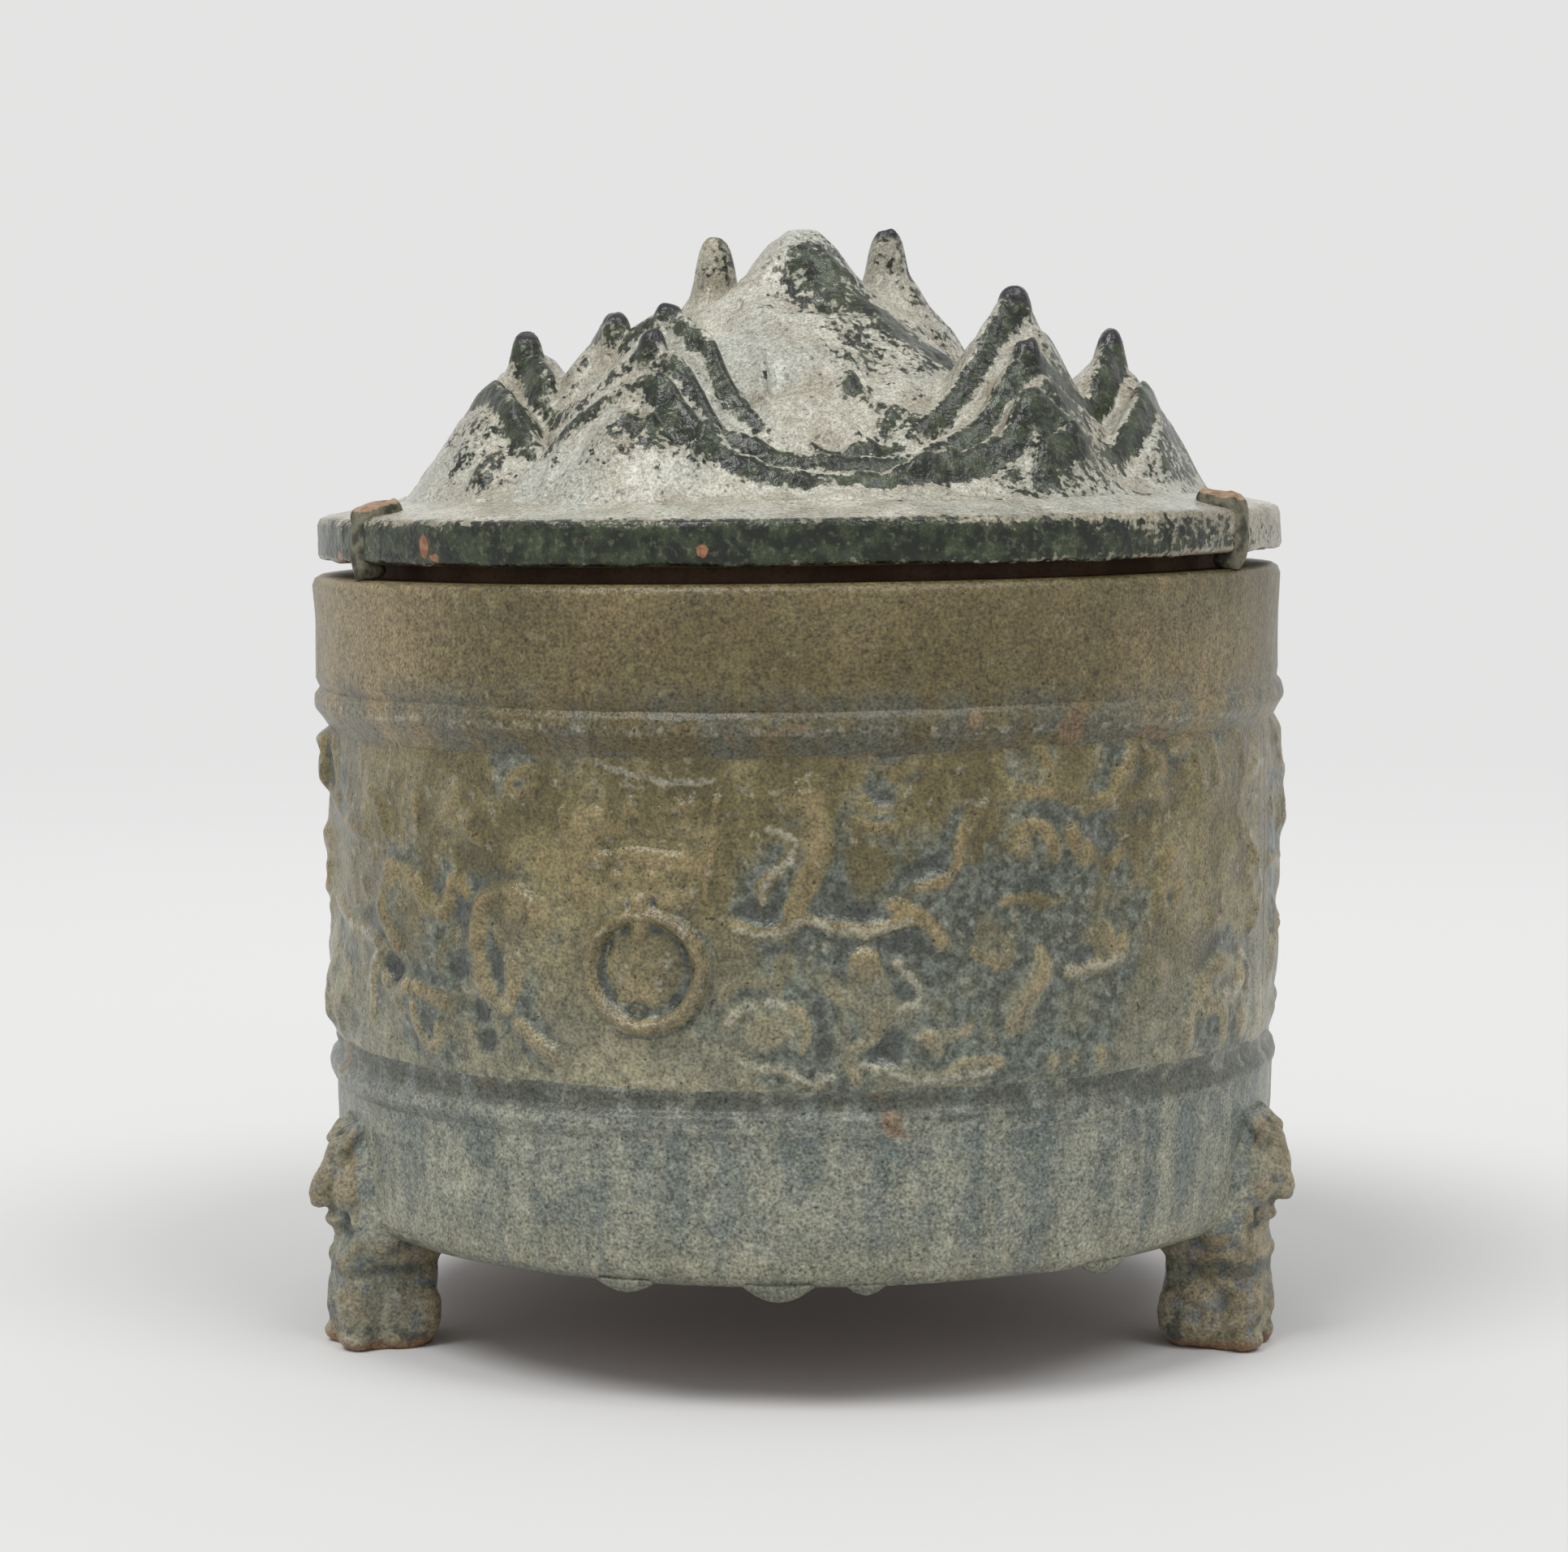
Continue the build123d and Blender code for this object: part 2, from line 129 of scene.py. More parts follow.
# %% Making a piece
def lean(points):
    """The fired jar stands askew: all above the feet rises to the right, and the drum drifts sideways."""
    points = points.copy()
    points[:, 0] += np.interp(points[:, 2], DRIFT_HEIGHTS, DRIFT)
    points[:, 2] += LEAN * points[:, 0] * np.clip(points[:, 2] / LEAN_START, 0, 1)
    return points


def mesh_piece(name, points, faces, caps=(), marks=None):
    """Object from points in millimetres, equal faces and many-cornered caps, with marks on its points."""
    corners = points[faces]
    sides = np.cross(corners[:, 1] - corners[:, 0], corners[:, 2] - corners[:, 0])
    if np.einsum("ij,ij->", sides, corners.mean(axis=1)) < 0:
        faces = faces[:, ::-1]
        caps = [cap[::-1] for cap in caps]
    loops = np.concatenate([faces.ravel()] + [np.asarray(cap) for cap in caps]).astype(np.int32)
    sizes = [np.full(len(faces), faces.shape[1])] + [[len(cap)] for cap in caps]
    sizes = np.concatenate(sizes).astype(np.int32)
    starts = np.concatenate([[0], np.cumsum(sizes)[:-1]]).astype(np.int32)
    mesh = bpy.data.meshes.new(name)
    mesh.vertices.add(len(points))
    mesh.vertices.foreach_set("co", (lean(points) * MM).astype(np.float32).ravel())
    mesh.loops.add(len(loops))
    mesh.loops.foreach_set("vertex_index", loops)
    mesh.polygons.add(len(sizes))
    mesh.polygons.foreach_set("loop_start", starts)
    mesh.update(calc_edges=True)
    mesh.validate()
    mesh.polygons.foreach_set("use_smooth", np.ones(len(mesh.polygons), dtype=bool))
    for mark, values in (marks or {}).items():
        attribute = mesh.attributes.new(mark, "FLOAT", "POINT")
        attribute.data.foreach_set("value", np.asarray(values, dtype=np.float32).ravel())
    piece = bpy.data.objects.new(name, mesh)
    bpy.context.scene.collection.objects.link(piece)
    return piece


def finish_piece(piece, body, nodes, material):
    """Say what a piece rides on, which solids it stands for and what covers it."""
    piece.data.materials.append(material)
    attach(piece, body)
    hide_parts(*nodes)
    print(piece.name, len(piece.data.vertices), "points on", body)


print("pieces rise by", LEAN, "mm in each mm to the right and drift by up to", max(DRIFT), "mm")


# %% Points round the axis
def directions(azimuths):
    """Outward unit vectors for azimuths in degrees, counted from the front towards the right."""
    turn = np.radians(azimuths)
    return np.stack([np.sin(turn), -np.cos(turn)], axis=-1)


def turned(azimuths, radius, height):
    """Points at azimuths by rows of radii and heights: arrays of rows by azimuths."""
    flat = directions(azimuths)
    return np.concatenate([radius[..., None] * flat[None, :, :], height[..., None]], axis=-1)


def facing(points, azimuth):
    """Points modelled along the first axis, turned round to face outwards at an azimuth."""
    out = directions(azimuth)
    along = np.array([-out[1], out[0]])
    return np.concatenate([points[:, :1] * out + points[:, 1:2] * along, points[:, 2:]], axis=1)


print("to the right is", directions(90.0).round(3))

# %% [markdown]
# Hand-made unevenness
#
# Nothing on the jar is perfectly round. A smooth random field, sampled at the points of every piece, gives
# the wall its slow swells and the glaze its small lumps. It hashes whole-number lattice corners, so it gives
# the same clay every time.


# %% A smooth random field
def lattice(x, y, z, seed):
    """Repeatable random value between -1 and 1 for whole-number corners."""
    mixed = x * 374761393 + y * 668265263 + z * 2147483647 + seed * 1274126177
    mixed = (mixed ^ (mixed >> 13)) * 1103515245
    mixed = (mixed ^ (mixed >> 16)) & 0xFFFF
    return mixed / 32767.5 - 1.0


def swell(points, size, seed):
    """Smooth random value at each point, with swells of a given size in millimetres."""
    scaled = points / size
    corner = np.floor(scaled).astype(np.int64)
    part = scaled - corner
    part = part * part * (3 - 2 * part)
    total = np.zeros(len(points))
    for dx in (0, 1):
        for dy in (0, 1):
            for dz in (0, 1):
                weight = np.abs(1 - dx - part[:, 0]) * np.abs(1 - dy - part[:, 1])
                weight *= np.abs(1 - dz - part[:, 2])
                total += weight * lattice(corner[:, 0] + dx, corner[:, 1] + dy, corner[:, 2] + dz, seed)
    return total


def clay(points, size, depth, seed, layers=3):
    """Several layers of swells, each half the size and half the depth of the last, in millimetres."""
    flat = points.reshape(-1, 3)
    total = np.zeros(len(flat))
    for layer in range(layers):
        total += depth / 2**layer * swell(flat, size / 2**layer, seed + layer)
    return total.reshape(points.shape[:-1])


print("random field at the rim", clay(np.array([[RIM_RADIUS, 0.0, RIM_TOP]]), 40.0, 1.0, 1))

# %% [markdown]
# The camera
#
# The photograph looks a little down on the jar through a long lens. The camera could be placed by eye, but
# here its distance, pitch and lens were fitted to edges whose sizes are known: the lid, the mouth, the two
# cordons and the base. So the render can be laid over the photograph.

# %% The camera
CAMERA_SPOT = (0.0, -772.3, 179.5)
CAMERA_PITCH = 85.0
CAMERA_TURN = 0.0041
LENS = 85.1

camera_data = bpy.data.cameras.new("camera")
camera_data.lens = LENS
camera_data.sensor_width = 36.0
camera_data.sensor_fit = "HORIZONTAL"
camera_data.clip_start = 0.05
camera = bpy.data.objects.new("camera", camera_data)
camera.location = [value * MM for value in CAMERA_SPOT]
camera.rotation_euler = (math.radians(CAMERA_PITCH), 0.0, CAMERA_TURN)
bpy.context.scene.collection.objects.link(camera)
bpy.context.scene.camera = camera
bpy.context.scene.view_settings.view_transform = "Standard"
print("camera at", CAMERA_SPOT, "lens", LENS)

# %% [markdown] A small kit for finishes  Glaze is mostly sums: this much brown where the relief is high,
# that much grey where it is low. All other nodes come from one method that takes a type, settings and socket
# values.


# %% A socket that does sums
class Wire:
    """An output socket of a finish, which can be added, multiplied and compared like a number."""

    def __init__(self, finish, socket):
        self.finish = finish
        self.socket = socket

    def sum(self, operation, first, second):
        """A Math node on two values."""
        return self.finish.node("ShaderNodeMath", {"operation": operation}, {0: first, 1: second})

    def __add__(self, other):
        return self.sum("ADD", self, other)

    def __radd__(self, other):
        return self.sum("ADD", other, self)

    def __sub__(self, other):
        return self.sum("SUBTRACT", self, other)

    def __rsub__(self, other):
        return self.sum("SUBTRACT", other, self)

    def __mul__(self, other):
        return self.sum("MULTIPLY", self, other)

    def __rmul__(self, other):
        return self.sum("MULTIPLY", other, self)

    def above(self, low, high):
        """Rises smoothly from 0 at low to 1 at high, or falls where high is the lower of the two."""
        values = {"Value": self, "From Min": low, "From Max": high}
        return self.finish.node("ShaderNodeMapRange", {"interpolation_type": "SMOOTHSTEP"}, values)


print("sums that a socket knows:", [name for name in vars(Wire) if name.strip("_") in ("add", "sub", "mul")])


# %% A finish under construction
class Finish:
    """A material, or the world, under construction."""

    def __init__(self, name, kind="materials"):
        self.block = getattr(bpy.data, kind).new(name)
        self.block.use_nodes = True
        self.tree = self.block.node_tree
        self.tree.nodes.clear()
        self.place = self.node("ShaderNodeTexCoord", output="Object")

    def node(self, kind, settings=None, sockets=None, output=0):
        """Add a node: its settings first, then the values or links of its sockets."""
        node = self.tree.nodes.new(kind)
        for setting, value in (settings or {}).items():
            setattr(node, setting, value)
        for socket, value in (sockets or {}).items():
            if isinstance(value, Wire):
                self.tree.links.new(value.socket, node.inputs[socket])
            else:
                node.inputs[socket].default_value = value
        return Wire(self, node.outputs[output]) if len(node.outputs) else None

    def mix(self, share, first, second, blend="MIX"):
        """One colour over another."""
        colours = {6: first if isinstance(first, Wire) else (*first, 1.0)}
        colours[7] = second if isinstance(second, Wire) else (*second, 1.0)
        settings = {"data_type": "RGBA", "blend_type": blend, "clamp_factor": True}
        return self.node("ShaderNodeMix", settings, {0: share, **colours}, output=2)

    def shade(self, colour, amount):
        """A colour made darker or lighter by a value around 1."""
        return self.mix(1.0, colour, amount, "MULTIPLY")

    def cloud(self, size, seed=0.0, detail=3.0, stretch=1.0):
        """Random value around 0.5 with spots of a given size in millimetres, stretched upwards if wished."""
        scale = (1 / (size * MM), 1 / (size * MM), 1 / (size * stretch * MM))
        values = {0: self.place, 1: scale, 2: (seed,) * 3}
        moved = self.node("ShaderNodeVectorMath", {"operation": "MULTIPLY_ADD"}, values)
        return self.node("ShaderNodeTexNoise", {}, {"Vector": moved, "Scale": 1.0, "Detail": detail})

    def along(self, axis):
        """Distance along an axis in millimetres: X to the right, Z up from the floor."""
        return self.node("ShaderNodeSeparateXYZ", {}, {0: self.place}, output=axis) * (1 / MM)

    def mark(self, name):
        """A mark written on the points of the mesh."""
        return self.node("ShaderNodeAttribute", {"attribute_name": name}, output="Fac")

    def close(self, colour, roughness, bump=None, depth=0.2, gloss=0.3, **constants):
        """Join colour, roughness and a bump of a given depth in millimetres to the shader."""
        sockets = {"Base Color": colour, "Roughness": roughness, "Specular IOR Level": gloss, **constants}
        if bump is not None:
            relief = {"Height": bump, "Strength": 1.0, "Distance": depth * MM}
            sockets["Normal"] = self.node("ShaderNodeBump", {}, relief)
        shader = self.node("ShaderNodeBsdfPrincipled", {}, sockets)
        self.node("ShaderNodeOutputMaterial", {}, {"Surface": shader})
        return self.block


print("a finish offers", [name for name in vars(Finish) if not name.startswith("_")])

# %% [markdown]
# Floor and light
#
# The jar was photographed on a pale sheet under large soft lamps. The floor fades out before its horizon, so
# that floor and background meet without a line. Lit panels would do for lamps, but their edges would show up
# in the glaze. So the light is an even sky and two very broad lamps, high at the left and the right, at a
# level where a colour comes out about as it is written.

# %% The floor
FLOOR_HALF = 2.0
FLOOR_FADE = (1.5, 0.45)
FLOOR_COLOUR = (0.747, 0.747, 0.742)


def fading_floor():
    """Pale floor that turns clear far from the jar."""
    finish = Finish("pale_floor")
    sheen = finish.cloud(400.0, 3.0)
    colour = finish.mix(sheen.above(0.3, 0.7), FLOOR_COLOUR, [0.99 * value for value in FLOOR_COLOUR])
    reach = finish.node("ShaderNodeVectorMath", {"operation": "LENGTH"}, {0: finish.place}, output="Value")
    return finish.close(colour, 0.9, None, Alpha=reach.above(*FLOOR_FADE))


floor_mesh = bpy.data.meshes.new("floor")
floor_corners = [(x * FLOOR_HALF, y * FLOOR_HALF, 0) for x, y in ((-1, -1), (1, -1), (1, 1), (-1, 1))]
floor_mesh.from_pydata(floor_corners, [], [(0, 1, 2, 3)])
floor = bpy.data.objects.new("floor", floor_mesh)
floor_mesh.materials.append(fading_floor())
bpy.context.scene.collection.objects.link(floor)
print("floor of", 2 * FLOOR_HALF, "m, clear beyond", FLOOR_FADE[0], "m")

# %% Sky and lamps
BACKDROP_COLOUR = (0.775, 0.775, 0.772)
SKY_LEVEL = 0.55
LAMPS = {"left_lamp": (1.35, 22.0, -24.0), "right_lamp": (0.78, 22.0, 26.0)}
LAMP_SPREAD = 26.0

studio = Finish("studio", "worlds")
seen = studio.node("ShaderNodeLightPath", output="Is Camera Ray")
for ray in ("Is Glossy Ray", "Is Transmission Ray"):
    seen = seen + studio.node("ShaderNodeLightPath", output=ray)
sky = studio.mix(seen, (SKY_LEVEL,) * 3, BACKDROP_COLOUR)
backdrop = studio.node("ShaderNodeBackground", {}, {"Color": sky})
studio.node("ShaderNodeOutputWorld", {}, {"Surface": backdrop})
bpy.context.scene.world = studio.block

for lamp_name, (level, forwards, sideways) in LAMPS.items():
    lamp_data = bpy.data.lights.new(lamp_name, "SUN")
    lamp_data.energy = level
    lamp_data.angle = math.radians(LAMP_SPREAD)
    lamp = bpy.data.objects.new(lamp_name, lamp_data)
    lamp.rotation_euler = (math.radians(forwards), math.radians(sideways), 0.0)
    bpy.context.scene.collection.objects.link(lamp)
print("sky", SKY_LEVEL, "lamps", list(LAMPS))

# %% [markdown]
# The glaze of the jar
#
# The jar's glaze has turned from green to a mottled brown above and a milky grey-green below, where it ran
# and pooled. One finish does both: it blends two palettes by height, lays cloudy tints over them and darkens
# small pits. The inside was never glazed, so there the red-brown clay shows.


# %% Brown of the rim
CHANGE_LOW = 84.0
CHANGE_HIGH = 96.0


def rim_brown(finish, height, broad, patch, streak):
    """Mottled brown, darker in the middle, paler at the left as painted light, and greyer below the rim."""
    brown = finish.mix(broad.above(0.38, 0.64), (0.114, 0.090, 0.036), (0.236, 0.182, 0.090))
    brown = finish.mix(patch.above(0.46, 0.66) * 0.5, brown, (0.162, 0.145, 0.068))
    pale_spots = finish.cloud(3.0, 61.0, 3.0).above(0.58, 0.70)
    brown = finish.mix(pale_spots * 0.5, brown, (0.266, 0.238, 0.132))
    across = finish.along("X")
    middle = across.above(-80.0, -30.0) * across.above(85.0, 20.0)
    brown = finish.mix(middle * 0.4, brown, (0.096, 0.074, 0.028))
    # Painted light: the brown is made paler towards the left.
    brown = finish.mix(across.above(-40.0, -95.0) * 0.4, brown, (0.295, 0.224, 0.124))
    hollow = (height + 7.0 * streak).above(143.0, 136.0) * streak.above(0.36, 0.60)
    return finish.mix(hollow * 0.6, brown, (0.105, 0.118, 0.100))


print("brown from", CHANGE_HIGH, "mm up")


# %% Milky glaze of the base
def specked(finish, colour, share):
    """Tiny pale and bluish specks in milky glaze."""
    speck = finish.cloud(0.6, 71.0, 2.0)
    colour = finish.mix(speck.above(0.54, 0.66) * share, colour, (0.400, 0.390, 0.280))
    return finish.mix(speck.above(0.46, 0.36) * share, colour, (0.095, 0.122, 0.132))


def base_milky(finish, height, broad, patch, streak):
    """Grey-green with pale and slate runs, olive at the top and ochre towards the lower edge."""
    milky = finish.mix(streak.above(0.36, 0.64), (0.140, 0.158, 0.130), (0.290, 0.286, 0.218))
    milky = finish.mix((height + 9.0 * broad).above(46.0, 58.0) * 0.5, milky, (0.125, 0.145, 0.132))
    milky = finish.mix(patch.above(0.46, 0.62) * 0.42, milky, (0.130, 0.158, 0.148))
    pale_spots = finish.cloud(3.2, 13.0, 3.0).above(0.54, 0.66)
    milky = finish.mix(pale_spots * 0.35, milky, (0.330, 0.320, 0.235))
    milky = finish.mix((height + 12.0 * streak).above(44.0, 32.0) * 0.55, milky, (0.275, 0.258, 0.172))
    runs = finish.cloud(6.0, 81.0, 3.0, 7.0)
    milky = finish.mix(runs.above(0.50, 0.64) * 0.5, milky, (0.330, 0.330, 0.250))
    milky = finish.mix(runs.above(0.48, 0.36) * 0.5, milky, (0.118, 0.146, 0.142))
    milky = specked(finish, milky, 0.28)
    return finish.mix((height + 5.0 * patch).above(29.5, 27.0) * 0.6, milky, (0.085, 0.092, 0.066))


print("milky up to", CHANGE_LOW, "mm")


# %% Jar glaze
def clay_tone(finish, patch):
    """Red-brown of the bare clay, lighter and darker in patches."""
    return finish.mix(patch.above(0.35, 0.65), (0.130, 0.072, 0.042), (0.185, 0.108, 0.066))


def jar_glaze():
    """Brown above, grey-green below, bare clay inside."""
    finish = Finish("jar_glaze")
    height = finish.along("Z")
    broad = finish.cloud(34.0, 1.0, 4.0, 1.4)
    patch = finish.cloud(6.0, 5.0, 5.0)
    fine = finish.cloud(1.7, 9.0, 3.0)
    grain = finish.cloud(0.6, 11.0, 1.0)
    streak = finish.cloud(9.0, 23.0, 4.0, 1.3)
    milky = base_milky(finish, height, broad, patch, streak)
    brown = rim_brown(finish, height, broad, patch, streak)
    colour = finish.mix(height.above(CHANGE_LOW, CHANGE_HIGH), milky, brown)
    wavering = height + 2.4 * finish.cloud(7.0, 21.0)
    cordon = finish.mark("cordon")
    # Painted highlights: pale lines along the crests of the upper and lower cordons.
    upper_cordon_highlight = wavering.above(128.6, 129.4) * wavering.above(131.0, 130.2) * fine.above(0.42, 0.60)
    lower_cordon_highlight = wavering.above(54.6, 55.4) * wavering.above(57.0, 56.0) * fine.above(0.38, 0.56)
    lines = (upper_cordon_highlight + lower_cordon_highlight) * patch.above(0.34, 0.56) * cordon
    colour = finish.mix(lines * 0.42, colour, (0.380, 0.364, 0.290))
    dark_band = wavering.above(56.6, 58.4) * height.above(80.0, 70.0)
    colour = finish.mix(dark_band * patch.above(0.28, 0.52) * 0.80, colour, (0.064, 0.068, 0.050))
    rust = finish.cloud(11.0, 31.0, 3.0).above(0.62, 0.70) * cordon
    colour = finish.mix(rust * 0.7, colour, (0.205, 0.128, 0.066))
    colour = finish.shade(colour, 1.2 * fine + 2.1 * grain - 0.68)
    pits = finish.cloud(1.1, 41.0, 2.0).above(0.70, 0.76)
    colour = finish.mix(pits * 0.8, colour, (0.026, 0.027, 0.020))
    inside = finish.mark("inside")
    colour = finish.mix(inside, colour, clay_tone(finish, patch))
    rough = 0.25 + 0.22 * patch + 0.3 * inside
    bump = grain * 0.35 + fine * 0.8 + patch * 1.0 - pits * 0.6
    return finish.close(colour, rough, bump, 0.4, 0.45)


JAR_GLAZE = jar_glaze()
print("finish", JAR_GLAZE.name)

# %% [markdown]
# The wall
#
# The wall is a plain drum with a shallow channel round its middle for the pressed strips, a broad rim and a
# rounded lower edge. Its cross-section is a closed line of points. Turning that line around the axis could
# be left to a Screw modifier, but rows of points let every point be nudged afterwards by the clay field.


# %% Turning a profile
def profile(corners):
    """Points along a closed profile; a corner gives radius, height and the step of the line up to it."""
    points = []
    for number, (radius, height, step) in enumerate(corners):
        start = np.array(corners[number - 1][:2])
        end = np.array([radius, height])
        count = max(1, round(np.linalg.norm(end - start) / step))
        for part in range(1, count + 1):
            points.append(start + (end - start) * part / count)
    return np.array(points)


def spun(line, count):
    """Azimuths all round, with a profile's radii and heights repeated for each of them."""
    azimuths = np.arange(count) * 360.0 / count
    return azimuths, np.repeat(line[:, :1], count, axis=1), np.repeat(line[:, 1:], count, axis=1)


def turned_ring(name, line, count, unevenness, marks=None):
    """Closed ring: a profile turned round the axis, with its radius and height nudged point by point."""
    azimuths, radius, height = spun(line, count)
    nudge = unevenness(turned(azimuths, radius, height), radius, height)
    points = turned(azimuths, radius + nudge[0], height + nudge[1]).reshape(-1, 3)
    values = {}
    for mark, value in (marks or {}).items():
        values[mark] = np.broadcast_to(value.reshape(len(line), -1), (len(line), count))
    return mesh_piece(name, points, stitch(len(line), count, True, True), marks=values)


square = profile([(1, 0, 0.5), (1, 1, 0.5), (0, 1, 0.5), (0, 0, 0.5)])
print("a square in half steps has", len(square), "points")

# %% The wall itself
WALL_COUNT = 540
SEAT_RADIUS = 92.0
BELLY_START = 28.0
WALL_LINE = profile(
    [
        (SEAT_RADIUS, BASE_BOTTOM, 3.0),
        (SEAT_RADIUS + 1.0, BASE_BOTTOM, 1.0),
        (94.6, BASE_BOTTOM + 0.5, 0.8),
        (95.8, BASE_BOTTOM + 1.7, 0.8),
        (BASE_RADIUS - 0.3, BASE_BOTTOM + 3.6, 0.8),
        (BASE_RADIUS + 0.2, BASE_BOTTOM + 12.0, 1.0),
        (BASE_RADIUS + 1.0, CHANNEL_BOTTOM - 3.0, 1.0),
        (BASE_RADIUS + 1.4, CHANNEL_BOTTOM, 0.6),
        (CHANNEL_RADIUS, CHANNEL_BOTTOM, 0.6),
        (CHANNEL_RADIUS, CHANNEL_TOP, 6.0),
        (RIM_RADIUS - 0.9, CHANNEL_TOP, 1.5),
        (RIM_RADIUS - 0.9, CHANNEL_TOP + 1.6, 0.6),
        (RIM_RADIUS - 0.35, CHANNEL_TOP + 4.0, 0.6),
        (RIM_RADIUS - 0.1, RIM_TOP - 2.0, 1.0),
        (RIM_RADIUS - 0.7, RIM_TOP - 0.6, 0.7),
        (RIM_RADIUS - 1.8, RIM_TOP, 0.7),
        (BORE_RADIUS + 0.8, RIM_TOP, 2.0),
        (BORE_RADIUS, RIM_TOP - 0.8, 0.6),
        (BORE_RADIUS, BASE_TOP, 6.0),
        (SEAT_RADIUS, BASE_TOP, 2.0),
    ]
)


def wall_unevenness(points, radius, height):
    """Slow swells, small lumps, a hollow rim band and turning rings inside."""
    shown = np.clip((radius - SEAT_RADIUS - 0.5) / 2.0, 0, 1)
    up_rim = np.pi * (height - CHANNEL_TOP) / (RIM_TOP - CHANNEL_TOP)
    sag = np.where(height > CHANNEL_TOP, -0.45 * np.sin(up_rim), 0)
    up_base = np.pi * (height - BELLY_START) / (CHANNEL_BOTTOM - BELLY_START)
    belly = np.where(height < CHANNEL_BOTTOM, 0.35 * np.sin(up_base), 0)
    lumps = clay(points, 46.0, 0.28, 3) + clay(points, 7.0, 0.10, 8, 2) - 0.2
    rings = np.where(radius < BORE_RADIUS + 1.0, 0.35 * np.sin(height * 0.8 + 0.3), 0)
    droop = np.where(height < BASE_BOTTOM + 3.0, clay(points, 16.0, 0.35, 15, 2), 0)
    swell_left = np.clip((height - CHANNEL_TOP) / 4.0, 0, 1) * 0.45 * (1 - points[..., 0] / RIM_RADIUS)
    return shown * (sag + np.clip(belly, -0.3, 0.35) + lumps + swell_left) + rings, shown * droop


inside_wall = ((WALL_LINE[:, 0] < BORE_RADIUS + 1.5) & (WALL_LINE[:, 1] > BASE_TOP - 0.5)).astype(float)
wall_marks = {"inside": inside_wall, "cordon": np.zeros(len(WALL_LINE))}
wall = turned_ring("jar_wall_glazed", WALL_LINE, WALL_COUNT, wall_unevenness, wall_marks)
finish_piece(wall, "jar", ["jar_wall"], JAR_GLAZE)

# %% [markdown]
# The base
#
# The floor of the jar is a separate slab, let into the wall from below and left unglazed. It shows only from
# underneath and through the open mouth. It is turned like the wall, but its profile starts and ends on the
# axis, so the two ends are closed by small caps.


# %% Bare clay and the base slab
def bare_clay():
    """Red-brown earthenware with dusty patches."""
    finish = Finish("bare_clay")
    dust = finish.cloud(14.0, 2.0, 5.0)
    grain = finish.cloud(0.9, 6.0, 2.0)
    colour = finish.mix(dust.above(0.35, 0.65), (0.120, 0.066, 0.040), (0.195, 0.122, 0.078))
    colour = finish.mix(grain.above(0.5, 0.75) * 0.5, colour, (0.070, 0.040, 0.026))
    return finish.close(colour, 0.8 + 0.1 * grain, grain + dust, 0.25)


def capped_turning(name, line, count, unevenness, marks=None):
    """Closed body: a profile that runs from axis to axis, turned, with a small cap at either end."""
    points = turned(*spun(line, count))
    points[..., 2] += unevenness(points)
    rows = len(line)
    caps = [np.arange(count), np.arange(count)[::-1] + (rows - 1) * count]
    return mesh_piece(name, points.reshape(-1, 3), stitch(rows, count, False, True), caps, marks)


def open_profile(corners):
    """Points along an open profile: those of the closed one without its closing line."""
    closing = np.linalg.norm(np.array(corners[0][:2]) - np.array(corners[-1][:2]))
    skipped = max(1, round(closing / corners[0][2]))
    return np.vstack([np.array([corners[0][:2]]), profile(corners)[skipped:]])


BARE_CLAY = bare_clay()
HIDDEN_COUNT = 240
CAP_RADIUS = 0.4
BASE_LINE = open_profile(
    [
        (CAP_RADIUS, BASE_TOP, 3.0),
        (BASE_DISC_RADIUS - 0.8, BASE_TOP, 3.0),
        (BASE_DISC_RADIUS, BASE_TOP - 0.8, 0.8),
        (BASE_DISC_RADIUS, BASE_BOTTOM + 0.8, 2.0),
        (BASE_DISC_RADIUS - 0.8, BASE_BOTTOM, 0.8),
        (CAP_RADIUS, BASE_BOTTOM, 3.0),
    ]
)
base = capped_turning("base_slab", BASE_LINE, HIDDEN_COUNT, lambda points: clay(points, 18.0, 0.3, 23) - 0.2)
finish_piece(base, "jar", ["base_disc"], BARE_CLAY)

# %% [markdown]
# The pressed strips: drawing the relief
#
# Round the middle run two strips pressed from one mould, with beasts, hills and clouds in low relief, worn
# and clogged by glaze. Each ridge is drawn as a short line of points, azimuth in degrees and height in
# millimetres, with how high and how wide it stands. Drawing into one height field, instead of modelling each
# beast, is how a mould is carved too, and it lets neighbouring ridges melt into each other. The far-left end,
# which is hard to see, repeats a stretch of the right part.

